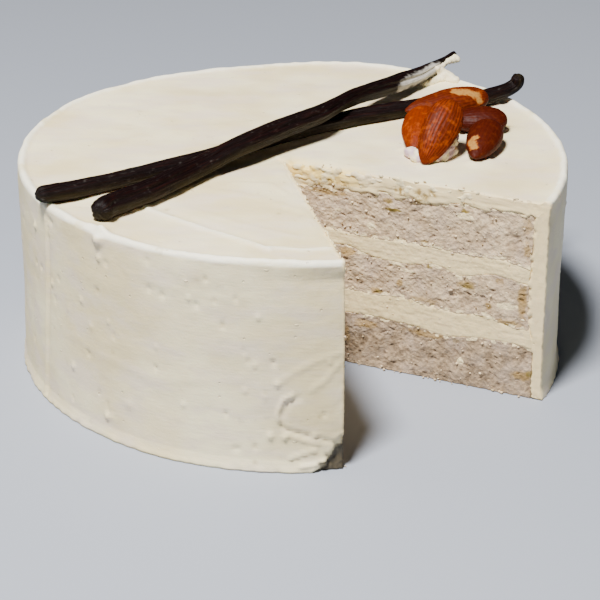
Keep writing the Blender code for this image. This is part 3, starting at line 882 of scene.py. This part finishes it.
def coatOutside(rows, row, column, headings, table):
    # the coat's outside, first smooth, then with its marks
    share, inset, height = rows[row].T
    full = reachAt(table, column, height)
    distance = np.where(share < 1, share * (full - icing["rim"][0][0]), full - inset)
    heading = headings[column]
    waving = 1 + 0.44 * noiseAt(onPlane(3.2 * heading, 0 * heading) + (0, 1.7, 0.4), 1.0)
    waving += wavesRound(heading, icing["lipWaves"])
    lipped = (height > cake["top"]) & (share == 1)
    height = np.where(lipped, cake["top"] + (height - cake["top"]) * waving, height)
    onLip = ease(height, cake["top"] - 1.6, cake["top"])
    distance = distance + (share == 1) * onLip * wavesRound(heading, icing["edgeWaves"])
    angle, tall, size = icing["lump"]
    beside = (heading - math.radians(angle)) * full
    lumpy = tall * np.exp(-(beside ** 2 + (full - 2.0 - distance) ** 2) / size ** 2)
    points = fromTip(heading, distance, height)
    upward = np.where(share < 1, 1.0, ease(inset, 0.0, 1.4))
    bearing = np.degrees(np.arctan2(points[:, 1], points[:, 0]))
    ragged = raggedness(points)
    bite = bumpsOn(points, icing["bite"]) - 0.12
    torn = tornAt(points)
    points[:, 2] += upward * (topRelief(points) + lumpy + 1.7 * ragged * bite)
    points[:, 2] -= upward * torn * (1.3 + bumpsOn(points, icing["drag"]))
    outward = onPlane(np.cos(np.radians(bearing)), np.sin(np.radians(bearing)))
    foot = ease(-height, -2.2, 0.0) * (0.35 + 0.5 * noiseAt(points, 3.0, 23))
    side = (1 - upward) * (sideRelief(bearing, height) + foot + 0.8 * ragged * bite)
    chipped = chipAt(points, bearing, height)
    side -= (1 - upward) * chipped * (chip["depth"] + 0.5 * noiseAt(points, 0.9, 25))
    points += outward * side[:, None]
    # the tip itself stays on the slice's corner
    points[share == 0] = (*cake["tip"], cake["top"])
    return points


def innerRows(level):
    # the rows inside: share of the top and height; a share below 0 is a row of the side
    rows = [(-1.0, height) for height in (icing["foot"], *icing["innerHeights"], level)]
    return np.array(rows + [(share, level) for share in icing["innerShares"]])


def coatInside(rows, row, column, headings, table, tipLevel):
    # the unseen inside, a few rows only, drawn back a little at both cuts
    share, height = rows[row].T
    thick = np.interp(height, *icing["thickness"]) + icing["lap"]
    across = np.where(share < 0, 1.0, share)
    distance = across * (reachAt(table, column, height) - thick)
    level = np.where(share < 0, height, tipLevel + (height - tipLevel) * across)
    points = fromTip(headings[column], distance, level)
    for side, edge in (("rightCut", 0), ("leftCut", len(headings) - 1)):
        points[(column == edge) & (share != 0)] -= icing["drawnBack"] * gapward(side)
    return points


def makeIcingSkin():
    steps = [np.linspace(start, end, count)[:-1] for start, end, count in icing["columns"]]
    headings = np.radians(np.concatenate(steps + [[cake["leftCut"]]]))
    table = reachTable(headings)
    under = cutEdge("sponge_top", "rightCut", True)[1]
    outer, inner = outerRows(), innerRows(under[-1] - icing["lap"])
    count = len(outer)
    skin, column, row = sheet("icing_coat", len(headings) - 1, count + len(inner) - 1)
    outside = row < count
    points = np.zeros((len(row), 3))
    points[outside] = coatOutside(outer, row[outside], column[outside], headings, table)
    points[~outside] = coatInside(inner, row[~outside] - count, column[~outside], headings, table,
                                  under[0] - icing["lap"])
    writePoints(skin, points)
    grid = np.zeros((count + len(inner), len(headings), 3))
    grid[row, column] = points
    return skin, table, grid[:count], grid[count:]


def makeIcingCap(side, column, table, outside, inside):
    # the cut end of the coat, from its outer edge in to the sponge
    steps = icing["capSteps"]
    outer = outside[:, column]
    chain = inside[:, column]
    cap, rowIndex, step = sheet("cap", len(outer) - 1, steps)
    along, _ = onCut(outer, side)
    under = np.interp(along, *cutEdge("sponge_top", side, True)) - icing["lap"]
    under[0] = chain[-1, 2]
    thick = np.interp(outer[:, 2], *icing["thickness"]) + icing["lap"]
    edge = reachAt(table, np.full(len(outer), column), outer[:, 2]) - thick
    distance = np.minimum(along, edge + icing["ring"])
    inner = fromTip(math.radians(cake[side]), distance, np.minimum(outer[:, 2], under + icing["ring"]))
    nearest = np.linalg.norm(inner[:, None] - chain[None], axis=2).argmin(axis=1)
    share = np.minimum(step / (steps - 1), 1.0)[:, None]
    points = outer[rowIndex] * (1 - share) + inner[rowIndex] * share
    setIn = np.minimum(1.0, step / 3) * np.minimum(1.0, np.abs(along[rowIndex]) / 2.0)
    relief = creamRelief(points, side, icing["capSeeds"][side]) + 0.05
    relief *= 1 + 1.4 * ease(points[:, 2], 58, 63) * (1 - 0.6 * ease(along[rowIndex], 55, 70))
    relief += 0.15 * ease(step / steps, 0.4, 0.7)
    relief -= 1.1 * ease(step / steps + bumpsOn(points, icing["ruffle"]), 0.74, 1.0)
    points += gapward(side) * (setIn * relief)[:, None]
    # the last row is the foot's edge, and the last step meets the coat's inside
    foot = rowIndex == len(outer) - 1
    points[foot] = outer[-1]
    nearest[-1] = 0
    last = step == steps
    points[last] = chain[nearest[rowIndex[last]]]
    writePoints(cap, points)
    return cap


def makeIcing():
    skin, *parts = makeIcingSkin()
    right = makeIcingCap("rightCut", 0, *parts)
    left = makeIcingCap("leftCut", -1, *parts)
    coat = join([skin, right, left], "icing_coat")
    weld(coat)
    points = readPoints(coat)
    noteValue(coat, "cut", ease(raggedness(points), 0.55, 0.95))
    thin = np.zeros(len(points))
    for x, y, z, radius in thinPatches:
        away = np.linalg.norm(points - (x, y, z), axis=1)
        thin = np.maximum(thin, 1 - ease(away + 1.2 * noiseAt(points, 1.6, 51), 0.5 * radius, radius))
    noteValue(coat, "thin", thin)
    noteValue(coat, "torn", tornAt(points) * (points[:, 2] > 64))
    angles = np.degrees(np.arctan2(points[:, 1], points[:, 0]))
    noteValue(coat, "chip", chipAt(points, angles, points[:, 2]))
    arc = np.radians(angles) * cake["radius"]
    spread = np.hypot(points[:, 0], points[:, 1])
    onTop = points[:, 2] > icing["topFrom"]
    # dark specks, and the painted shadow of the right almonds on top
    topDarkened = dotsOn(points[:, :2], topSpecksAndShadow)
    sideDarkened = dotsOn(np.column_stack([arc, points[:, 2]]),
                         [(math.radians(a) * cake["radius"], *stain) for a, *stain in sideSpecks])
    noteValue(coat, "stain", np.where(onTop, topDarkened, sideDarkened * (spread > cake["radius"] - 4)))
    fromEdge = waveTable(np.radians(angles)) @ measureSide()[-1] - spread
    # painted highlight along the rim's lip, and on the high ridges of the knife's marks
    lip = ease(points[:, 2], 68.2, 69.0) * (1 - ease(fromEdge + 0.5 * noiseAt(points, 3.0, 52), 1.8, 3.2))
    ridges = marksOn(points[:, :2], [(0.9, 0.9, route) for _, height, route in topMarks if height > 0.4])
    noteValue(coat, "lip", np.maximum(lip, ridges * onTop))
    deliver(coat, creamFinish, "icing", "icing")


print("icing")
makeIcing()


# Sponges and fillings: the imported layers, with their cut faces made fine and given their crumb

# grow is how far each goes down and up into its neighbours, dim how much painted shade darkens its crumb
layers = {
    "sponge_bottom": {"kind": "sponge", "grow": (0.0, 0.2), "seed": 61, "dim": 0.37},
    "sponge_middle": {"kind": "sponge", "grow": (0.2, 0.2), "seed": 64, "dim": 0.10},
    "sponge_top": {"kind": "sponge", "grow": (0.2, 0.2), "seed": 67, "dim": 0.04},
    "filling_lower": {"kind": "filling", "grow": (0.9, 0.9), "seed": 71},
    "filling_upper": {"kind": "filling", "grow": (0.9, 0.9), "seed": 74},
}
cutFineness = {"rightCut": 17, "leftCut": 11}    # new points along each edge of a cut's faces
crumbShape = {
    "bumps": ((0.22, 6.0, 0), (0.24, 2.1, 1), (0.20, 1.15, 2), (0.13, 0.6, 0.5)),   # height, size, seed
    "pores": 340,
    "poreSize": (0.25, 0.9),  # the smallest, and how much larger the rare largest is
    "poreDepth": 0.42,
    "shade": 0.33,            # how dark level crumb is, from 0 to 1
    "shadeByDepth": 0.7,
}
# coloured bits on the right cut: distance, height, half width, half height and strength;
# on the left cut, which isn't seen, so many are scattered instead
bits = {
    "golden": {"scattered": 9, "seen": (
        (15.5, 60.6, 9.0, 1.2, 0.9), (37.5, 61.4, 1.8, 1.2, 0.9), (48.7, 62.9, 3.4, 1.2, 1.0),
        (42.1, 32.6, 1.4, 1.5, 1.0), (33.5, 28.2, 2.0, 1.3, 0.9), (50.7, 28.3, 6.6, 1.1, 0.6),
        (65.5, 36.4, 3.8, 2.2, 0.8), (73.2, 30.3, 1.4, 1.5, 1.0), (84.6, 34.3, 1.9, 8.5, 0.9),
        (80.1, 25.6, 5.4, 1.4, 0.8), (85.4, 7.4, 3.4, 2.1, 0.9), (52.0, 16.0, 8.6, 1.6, 0.7),
        (30.3, 15.4, 5.6, 1.8, 0.8), (85.0, 60.5, 2.4, 3.2, 0.6), (23.2, 40.6, 3.4, 2.0, 0.9),
        (85.4, 52.0, 1.5, 3.4, 0.8), (50.2, 48.8, 1.5, 1.1, 0.9), (76.7, 39.7, 1.9, 1.3, 0.7),
        # the last, low near the tip, is painted shade in the inner corner
        (23.9, 10.4, 1.2, 4.2, 0.6),
    )},
    "olive": {"scattered": 4, "seen": (
        (39.0, 58.3, 3.3, 0.8, 1.0), (63.8, 62.0, 1.8, 1.0, 0.9), (52.5, 40.6, 1.3, 1.1, 0.8),
        (37.9, 60.9, 1.3, 0.9, 0.7), (35.1, 28.0, 1.8, 0.8, 0.8), (62.5, 15.1, 1.6, 1.3, 0.5),
        (88.7, 8.8, 2.0, 1.3, 0.8), (79.1, 24.3, 1.9, 1.2, 0.6), (65.5, 36.0, 2.8, 1.6, 0.6),
    )},
    "smear": {"scattered": 4, "seen": (
        (63.9, 60.4, 3.6, 1.3, 1.0), (64.1, 8.5, 1.4, 1.4, 1.0), (73.5, 26.1, 2.2, 1.1, 1.0),
        (31.8, 51.2, 2.2, 1.4, 0.8), (79.3, 31.5, 4.2, 1.6, 0.7), (45.0, 37.6, 3.0, 0.8, 0.6),
        (20.0, 55.0, 2.0, 0.8, 0.6),
    )},
}


def growLayer(piece, down, up):
    # a little into its neighbours, so that no gap shows between them
    points = readPoints(piece)
    faces = piece.data.polygons
    upper = {corner for face in faces if face.normal.z > 0.5 for corner in face.vertices}
    lower = {corner for face in faces if face.normal.z < -0.5 for corner in face.vertices}
    points[sorted(upper), 2] += up
    points[sorted(lower - upper), 2] -= down
    writePoints(piece, points)


def fineCut(piece, side):
    # the faces of one cut, subdivided
    faces = piece.data.polygons
    upright = np.array([abs(face.normal.z) < 0.35 for face in faces])
    facing = np.array([face.normal.dot(Vector(gapward(side))) > 0.7 for face in faces])
    along, out = onCut(np.array([face.center for face in faces]) / mm, side)
    bpy.context.tool_settings.mesh_select_mode = (False, False, True)
    editAll(piece)
    bpy.ops.mesh.select_all(action="DESELECT")
    bpy.ops.object.mode_set(mode="OBJECT")
    piece.data.polygons.foreach_set("select", upright & facing & (np.abs(out) < 1.5) & (along > 0))
    bpy.ops.object.mode_set(mode="EDIT")
    bpy.ops.mesh.subdivide(number_cuts=cutFineness[side])
    bpy.ops.object.mode_set(mode="OBJECT")


def poresAt(along, heights, seed):
    # depth of torn pores, wider than tall
    draw = random.Random(seed)
    deepest = np.zeros(len(along))
    low, high = heights.min(), heights.max()
    smallest, larger = crumbShape["poreSize"]
    for _ in range(crumbShape["pores"]):
        x, z = draw.uniform(0, 88), draw.uniform(low, high)
        size = smallest + larger * draw.random() ** 5
        wide, tall = size * draw.uniform(0.8, 1.5), size * draw.uniform(0.5, 0.95)
        tilt = draw.uniform(-0.35, 0.35)
        dx, dz = along - x, heights - z - tilt * (along - x)
        away = (dx / wide) ** 2 + (dz / tall) ** 2
        near = away < 1
        deepest[near] = np.maximum(deepest[near], size * (1 - away[near]) ** 1.5)
    return deepest


def crumbRelief(along, heights, seed):
    relief = bumpsOn(onPlane(along, heights), crumbShape["bumps"], seed)
    return relief - crumbShape["poreDepth"] * poresAt(along, heights, seed)


def bitsAt(along, heights, places, ruffle):
    share = np.zeros(len(along))
    for x, z, wide, tall, strength in places:
        away = np.sqrt(((along - x) / wide) ** 2 + ((heights - z) / tall) ** 2)
        share = np.maximum(share, strength * (1 - ease(away + ruffle, 0.5, 1.25)))
    return share


def scatterBits(seed, count, low, high):
    draw = random.Random(seed)
    return [(draw.uniform(3, 87), draw.choice((low + draw.uniform(0, 2), high - draw.uniform(0, 2))),
             draw.uniform(1.5, 5), draw.uniform(0.7, 1.6), draw.uniform(0.5, 0.9)) for _ in range(count)]


def finishCut(piece, node, side, mine, notes):
    # mine are the points of the cut's face
    layer = layers[node]
    points = readPoints(piece)
    along, _ = onCut(points, side)
    along, heights = along[mine], points[mine, 2]
    seed = layer["seed"] + (0 if side == "rightCut" else 10)
    flat = onPlane(along, heights)
    top = np.interp(along, *cutEdge(node, side, True))
    bottom = np.interp(along, *cutEdge(node, side, False))
    if layer["kind"] == "sponge":
        relief = crumbRelief(along, heights, seed)
        # random tone, plus the layer's dim: painted shade, strongest on the bottom sponge
        broad = 0.16 * noiseAt(flat, 4.0, seed + 7) + layer["dim"]
        # painted shadow, low in the cut's inner corner near the tip
        broad += 0.22 * (1 - ease(along, 20, 30)) * (1 - ease(heights, 15, 45))
        # painted shade by depth: darker down in pores, paler on raised crumb
        dark = crumbShape["shade"] + broad - crumbShape["shadeByDepth"] * relief
        notes["hollow"][mine] = np.clip(dark, 0, 1)
        ruffle = 0.35 * noiseAt(flat, 1.4, seed + 3)
        low, high = heights.min(), heights.max()
        for number, (name, kind) in enumerate(bits.items()):
            places = kind["seen"]
            if side == "leftCut":
                places = scatterBits(seed + number, kind["scattered"], low, high)
            notes[name][mine] = bitsAt(along, heights, places, ruffle)
        inside = np.minimum(top - heights, np.where(bottom < 1, 9, heights - bottom))
        edged = (1 - ease(inside, 0.1, 2.0)) * ease(noiseAt(flat, 2.0, seed + 6), -0.15, 0.3)
        notes["smear"][mine] = np.maximum(0.9 * edged, notes["smear"][mine])
    else:
        beyond = np.maximum(heights - top, bottom - heights)
        relief = creamRelief(points[mine], side, seed) + 0.10 - 0.45 * ease(beyond, -0.3, 0.9)
        near = 1 - ease(-beyond, -0.4, 1.1)
        notes["thin"][mine] = near * ease(noiseAt(flat, 2.6, seed + 5), 0.05, 0.4) * 0.8
    points[mine] += gapward(side) * (relief * ease(along, 0.0, 1.6))[:, None]
    writePoints(piece, points)


def makeLayer(node, layer):
    piece = copyOf(node, node + "_cut")
    growLayer(piece, *layer["grow"])
    for side in cutFineness:
        fineCut(piece, side)
    sponge = layer["kind"] == "sponge"
    names = ("hollow", *bits) if sponge else ("thin",)
    notes = {name: np.zeros(len(piece.data.vertices)) for name in names}
    for side in cutFineness:
        along, out = onCut(readPoints(piece), side)
        finishCut(piece, node, side, np.flatnonzero((np.abs(out) < 0.6) & (along > -0.2)), notes)
    for name, values in notes.items():
        noteValue(piece, name, values)
    deliver(piece, spongeFinish if sponge else fillingFinish, layer["kind"], node)


print("sponges and fillings")
for node, layer in layers.items():
    makeLayer(node, layer)


# Almonds: the imported ones, smoothed, then ridged lengthwise, with bare patches where skin came off

# dark is how much maroon each takes: partly its own darker skin, partly painted shade on the right pair
almonds = {
    "almond_back": {"dark": 0.42, "ridged": 0.6,
                    "bare": ((2.0, ((54.5, 30.6, 80.4), (58.5, 30.9, 80.0), (62.0, 30.5, 78.9))),
                             (1.4, ((61.5, 30.4, 79.0), (63.3, 29.6, 77.2))))},
    "almond_left": {"dark": 0.0, "ridged": 0.45, "bare": ()},
    "almond_front": {"dark": 0.05, "ridged": 1.0, "bare": ()},
    "almond_right_upper": {"dark": 0.82, "ridged": 0.5, "bare": ()},
    "almond_right_lower": {"dark": 0.78, "ridged": 0.5,
                           "bare": ((1.9, ((57.7, -3.2, 75.4), (58.3, -5.6, 74.6))),
                                    (1.2, ((57.9, -3.4, 75.4), (59.5, -2.2, 76.3))))},
}
almondShape = {
    "ridges": 27,
    "height": 0.15,
    "wrinkle": 0.09,
    "bareDepth": 0.18,
    "ruffle": ((0.7, 1.7, 5), (0.5, 0.7, 6)),    # of the bare patches' edges
}


def localFrame(points):
    # middle, and directions along, across and through an almond; the pointed end is ahead
    spread = points - points.mean(axis=0)
    directions = np.linalg.svd(spread, full_matrices=False)[2]
    local = spread @ directions.T
    middle = points.mean(axis=0) + ((local.max(axis=0) + local.min(axis=0)) / 2) @ directions
    local = (points - middle) @ directions.T
    if np.mean(local[:, 0]) > 0:
        directions[0] *= -1
    directions[2] = np.cross(directions[0], directions[1])
    if directions[2][2] < 0:
        directions[1:] *= -1
    return middle, directions


def makeAlmondPiece(node, almond):
    piece = copyOf(node, node + "_skin")
    middle, directions = localFrame(readPoints(piece))
    editAll(piece)
    flatEnough = math.radians(60)
    bpy.ops.mesh.tris_convert_to_quads(face_threshold=flatEnough, shape_threshold=flatEnough)
    bpy.ops.object.mode_set(mode="OBJECT")
    apply(piece, "SUBSURF", levels=3, render_levels=3)
    points = readPoints(piece)
    normals = readNormals(piece)
    local = (points - middle) @ directions.T
    half = np.abs(local).max(axis=0)
    turn = np.arctan2(local[:, 2] / half[2], local[:, 1] / half[1])
    waver = noiseAt(local * (0.5, 1, 1), 4.0, len(node)) * 2.2
    stripes = 0.5 + 0.5 * np.sin(almondShape["ridges"] * turn + waver)
    stripes *= 0.55 + 0.45 * ease(noiseAt(local * (0.12, 1, 1), 2.0, len(node) + 3), -0.3, 0.3)
    atEnds = 1 - ease(np.abs(local[:, 0]) / half[0], 0.8, 1.0)
    bare = np.zeros(len(points))
    ruffle = bumpsOn(points, almondShape["ruffle"])
    for radius, route in almond["bare"]:
        away = awayFrom(points, route) + ruffle
        bare = np.maximum(bare, 1 - ease(away, 0.4 * radius, 1.3 * radius))
    skinned = 1 - ease(bare, 0.3, 0.6)
    stripes *= almond["ridged"]
    wrinkles = almondShape["wrinkle"] * noiseAt(local, 0.9, 6)
    relief = skinned * (almondShape["height"] * stripes * atEnds + wrinkles)
    relief -= almondShape["bareDepth"] * (1 - skinned)
    relief += 0.25 * noiseAt(local, 7.0, len(node) + 9)
    writePoints(piece, points + normals * relief[:, None])
    noteValue(piece, "ridge", stripes + 1 - almond["ridged"])
    noteValue(piece, "bare", bare)
    noteSpot(piece, "skin", local)
    deliver(piece, makeAlmond(node + "_finish", almond["dark"]), "almond_skin", node)


print("almonds")
for node, almond in almonds.items():
    makeAlmondPiece(node, almond)


# Small cream: torn lumps along the cuts, strands at a pod's end, dabs under the almonds

smallCream = {
    "voxel": 0.3,
    "smoothing": {"factor": 0.5, "iterations": 5},
    "bumps": ((0.14, 0.9, 4), (0.28, 2.0, 5)),
    # how strongly each piece takes the cut's, the torn cream's and the shaded tone, and how uneven it is
    "torn_cream": {"cut": 0.5, "torn": 1.0, "shaded": 0.0},
    "pod_cream": {"cut": 0.0, "torn": 0.0, "shaded": 0.0, "rough": 0.2},
    "almond_cream": {"cut": 0.0, "torn": 0.0, "shaded": 0.9, "rough": 0.4},
}
# strands of cream: (x, y, z, radius) along each
creamStrands = {
    "pod_cream": (
        ((50.6, 71.2, 74.0, 1.1), (51.6, 72.4, 72.6, 1.6), (52.8, 72.2, 71.4, 2.0), (54.6, 71.6, 70.7, 2.0),
         (57.0, 70.0, 69.8, 1.5)),
        ((50.4, 71.0, 74.0, 0.8), (52.2, 73.8, 74.0, 0.85), (54.2, 76.8, 74.3, 0.9), (56.0, 79.0, 74.6, 1.3),
         (57.4, 80.0, 74.6, 1.7)),
        ((53.0, 71.6, 70.0, 1.7), (49.4, 69.8, 70.0, 1.5), (45.6, 67.0, 69.6, 1.2)),
    ),
    "almond_cream": (
        ((37.2, -1.0, 70.4, 1.4), (38.5, -3.6, 71.0, 1.9), (40.1, -6.0, 70.8, 1.9), (42.0, -7.8, 70.2, 1.4)),
        ((43.0, -8.6, 70.4, 1.2), (45.4, -7.6, 71.2, 1.6), (48.0, -5.4, 72.2, 1.8), (50.4, -2.2, 73.2, 1.9),
         (52.2, 1.6, 74.2, 1.6), (53.0, 4.4, 74.6, 1.1)),
        ((45.0, -7.6, 69.9, 1.4), (48.6, -5.0, 70.2, 1.6), (52.0, -0.6, 70.6, 1.5)),
    ),
}
# lumps of cream dragged onto the right cut: distance, height, radius, stretch
cutLumps = ((64.1, 8.5, 1.0, 1.1), (63.9, 60.4, 0.8, 2.6), (73.5, 26.1, 0.9, 1.8),
            (31.8, 51.2, 0.8, 1.4), (77.0, 30.6, 0.8, 1.6), (4.6, 64.2, 0.9, 1.4))
tornCream = {
    "seed": 17,
    # cut, count, from and to along it, heights, radii
    "runs": (("rightCut", 56, (2.5, 31.0), (64.2, 68.6), (0.7, 1.5)),
             ("rightCut", 44, (30.0, 66.0), (65.5, 69.5), (0.5, 1.2)),
             ("rightCut", 14, (66.0, 86.0), (68.4, 69.6), (0.35, 0.6)),
             ("rightCut", 26, (3.0, 88.0), (46.0, 48.4), (0.35, 0.7)),
             ("rightCut", 26, (20.0, 88.0), (25.4, 28.0), (0.35, 0.7)),
             ("leftCut", 70, (1.5, 86.0), (67.4, 69.6), (0.4, 0.9))),
}
looseCrumbs = {
    "seed": 23,
    "onCut": {"rightCut": 260, "leftCut": 120},
    "bands": ((0.5, 18), (27, 40), (47, 64), (0.3, 66)),    # heights that they cling at
    "onTop": 7,
    "atFoot": 26,
}


def lumpOf(spot, radius, draw, stretch=(1.0, 1.0, 1.0), turn=0.0, fineness=2, rough=0.28):
    # one uneven lump of cream or crumb
    clearSelection()
    bpy.ops.mesh.primitive_ico_sphere_add(subdivisions=fineness, radius=radius * mm)
    piece = bpy.context.object
    points = readPoints(piece)
    shift = draw.uniform(0, 90)
    points *= (1 + rough * noiseAt(points, radius * 1.1, shift))[:, None]
    points *= stretch
    cosine, sine = math.cos(turn), math.sin(turn)
    turned = points @ np.array(((cosine, sine, 0), (-sine, cosine, 0), (0, 0, 1)))
    writePoints(piece, turned + np.array(spot))
    return piece


def meltTogether(lumps, name):
    piece = join(lumps, name)
    apply(piece, "REMESH", mode="VOXEL", voxel_size=smallCream["voxel"] * mm)
    apply(piece, "SMOOTH", **smallCream["smoothing"])
    points = readPoints(piece)
    rough = bumpsOn(points, smallCream["bumps"])
    writePoints(piece, points + readNormals(piece) * rough[:, None])
    tones = smallCream[name]
    noteValue(piece, "cut", np.full(len(points), tones["cut"]))
    noteValue(piece, "torn", tones["torn"] * tornAt(points) * ease(noiseAt(points, 3.0, 7), -0.2, 0.3))
    noteValue(piece, "shaded", tones["shaded"] * ease(noiseAt(points, 2.6, 11), -0.3, 0.3))
    deliver(piece, creamFinish, "icing")


def makeCreamStrands():
    for name, strands in creamStrands.items():
        draw = random.Random(len(name))
        rough = smallCream[name]["rough"]
        lumps = []
        for route in strands:
            for *spot, radius in smoothRoute(route, 0.5)[0]:
                lumps.append(lumpOf(spot, radius * draw.uniform(1.1 - rough, 0.9 + rough), draw, rough=rough))
        meltTogether(lumps, name)


def cutSpot(side, along, out, height):
    return fromTip(math.radians(cake[side]), along, height)[0] + out * gapward(side)


def makeTornCream():
    # ragged cream left by the knife along the cuts
    draw = random.Random(tornCream["seed"])
    lumps = []
    for side, count, span, heights, radii in tornCream["runs"]:
        for _ in range(count):
            radius = draw.uniform(*radii)
            spot = cutSpot(side, draw.uniform(*span), -0.1 * radius, draw.uniform(*heights))
            stretch = (draw.uniform(0.9, 1.9), 0.5, draw.uniform(0.5, 1.0))
            lumps.append(lumpOf(spot, radius, draw, stretch, math.radians(cake[side])))
    for along, height, radius, wide in cutLumps:
        spot = cutSpot("rightCut", along, -0.3 * radius, height)
        lumps.append(lumpOf(spot, radius, draw, (wide, 0.6, 1.0), math.radians(cake["rightCut"])))
    meltTogether(lumps, "torn_cream")


def makeLooseCrumbs():
    draw = random.Random(looseCrumbs["seed"])
    places = []
    for side, count in looseCrumbs["onCut"].items():
        for _ in range(count):
            height = draw.choice([draw.uniform(*band) for band in looseCrumbs["bands"]])
            places.append(cutSpot(side, draw.uniform(2, 86), draw.uniform(-0.15, 0.2), height))
        for _ in range(looseCrumbs["atFoot"]):
            places.append(cutSpot(side, draw.uniform(4, 86), draw.uniform(0.1, 1.4), 0.35))
        for _ in range(looseCrumbs["onTop"]):
            places.append(cutSpot(side, draw.choice((draw.uniform(2, 28), draw.uniform(34, 66))),
                                  -abs(draw.gauss(0, 1.2)), cake["top"] + 0.1))
    crumbs = []
    tint = []
    for place in places:
        radius = 0.2 + 0.36 * draw.random() ** 2
        stretch = (draw.uniform(1, 1.5), 1.0, draw.uniform(0.6, 1.0))
        crumb = lumpOf(place, radius, draw, stretch, draw.uniform(0, 6), 1)
        tint += [draw.random()] * len(crumb.data.vertices)
        crumbs.append(crumb)
    piece = join(crumbs, "loose_crumbs")
    tint = np.array(tint)
    noteValue(piece, "hollow", 0.5 * tint ** 2)
    noteValue(piece, "golden", np.where(tint > 0.86, 0.7, 0.0))
    noteValue(piece, "olive", np.where(tint < 0.04, 0.6, 0.0))
    deliver(piece, spongeFinish, "sponge")


print("small cream and crumbs")
makeCreamStrands()
makeTornCream()
makeLooseCrumbs()


# Floor, lights and camera

stageLook = {
    "floor": colour(156, 162, 174),
    "world": colour(196, 206, 220),
    "worldStrength": 0.06,
    "aim": (0, 0, 35),        # where the lights point
    # name: place in mm, size, watts, colour
    "lights": {
        "keyLight": ((-215, -460, 1090), 240, 41.0, (1.0, 0.98, 0.95)),
        "fillLight": ((-963, -258, 465), 500, 0.5, (0.97, 0.98, 1.0)),
    },
}
camera = {
    "place": (1.77859, -713.34985, 352.23677),
    "down": 25.25672,         # degrees below level
    "roll": 0.30437,
    "lens": 138.85,
    "sensor": 36.0,
}


def makeFloor():
    clearSelection()
    bpy.ops.mesh.primitive_grid_add(x_subdivisions=2, y_subdivisions=2, size=12, location=(0, 0, -0.0002))
    floor = bpy.context.object
    floor.name = "floor"
    finish = Finish("floorFinish", Roughness=0.7, Specular_IOR_Level=0.3)
    finish.feed("Base Color", stageLook["floor"])
    floor.data.materials.append(finish.material)


def makeLights():
    for name, (place, size, watts, tint) in stageLook["lights"].items():
        data = bpy.data.lights.new(name, "AREA")
        data.shape = "DISK"
        data.size = size * mm
        data.energy = watts
        data.color = tint
        light = bpy.data.objects.new(name, data)
        bpy.context.scene.collection.objects.link(light)
        light.location = Vector(place) * mm
        aim = Vector(stageLook["aim"]) * mm - light.location
        light.rotation_euler = aim.to_track_quat("-Z", "Y").to_euler()
    world = bpy.data.worlds.new("studio")
    world.use_nodes = True
    backdrop = world.node_tree.nodes["Background"]
    backdrop.inputs["Color"].default_value = stageLook["world"]
    backdrop.inputs["Strength"].default_value = stageLook["worldStrength"]
    bpy.context.scene.world = world


def makeCamera():
    data = bpy.data.cameras.new("camera")
    data.lens = camera["lens"]
    data.sensor_width = camera["sensor"]
    data.sensor_fit = "HORIZONTAL"
    data.clip_start = 0.01
    data.clip_end = 40
    eye = bpy.data.objects.new("camera", data)
    bpy.context.scene.collection.objects.link(eye)
    down, roll = math.radians(camera["down"]), math.radians(camera["roll"])
    ahead = Vector((0, math.cos(down), -math.sin(down)))
    up = Vector((0, math.sin(down), math.cos(down)))
    level = Vector((1, 0, 0))
    right = level * math.cos(roll) + up * math.sin(roll)
    upright = up * math.cos(roll) - level * math.sin(roll)
    turned = Matrix((right, upright, -ahead)).transposed().to_4x4()
    eye.matrix_world = Matrix.Translation(Vector(camera["place"]) * mm) @ turned
    bpy.context.scene.camera = eye


print("floor, lights and camera")
makeFloor()
makeLights()
makeCamera()

print("done")
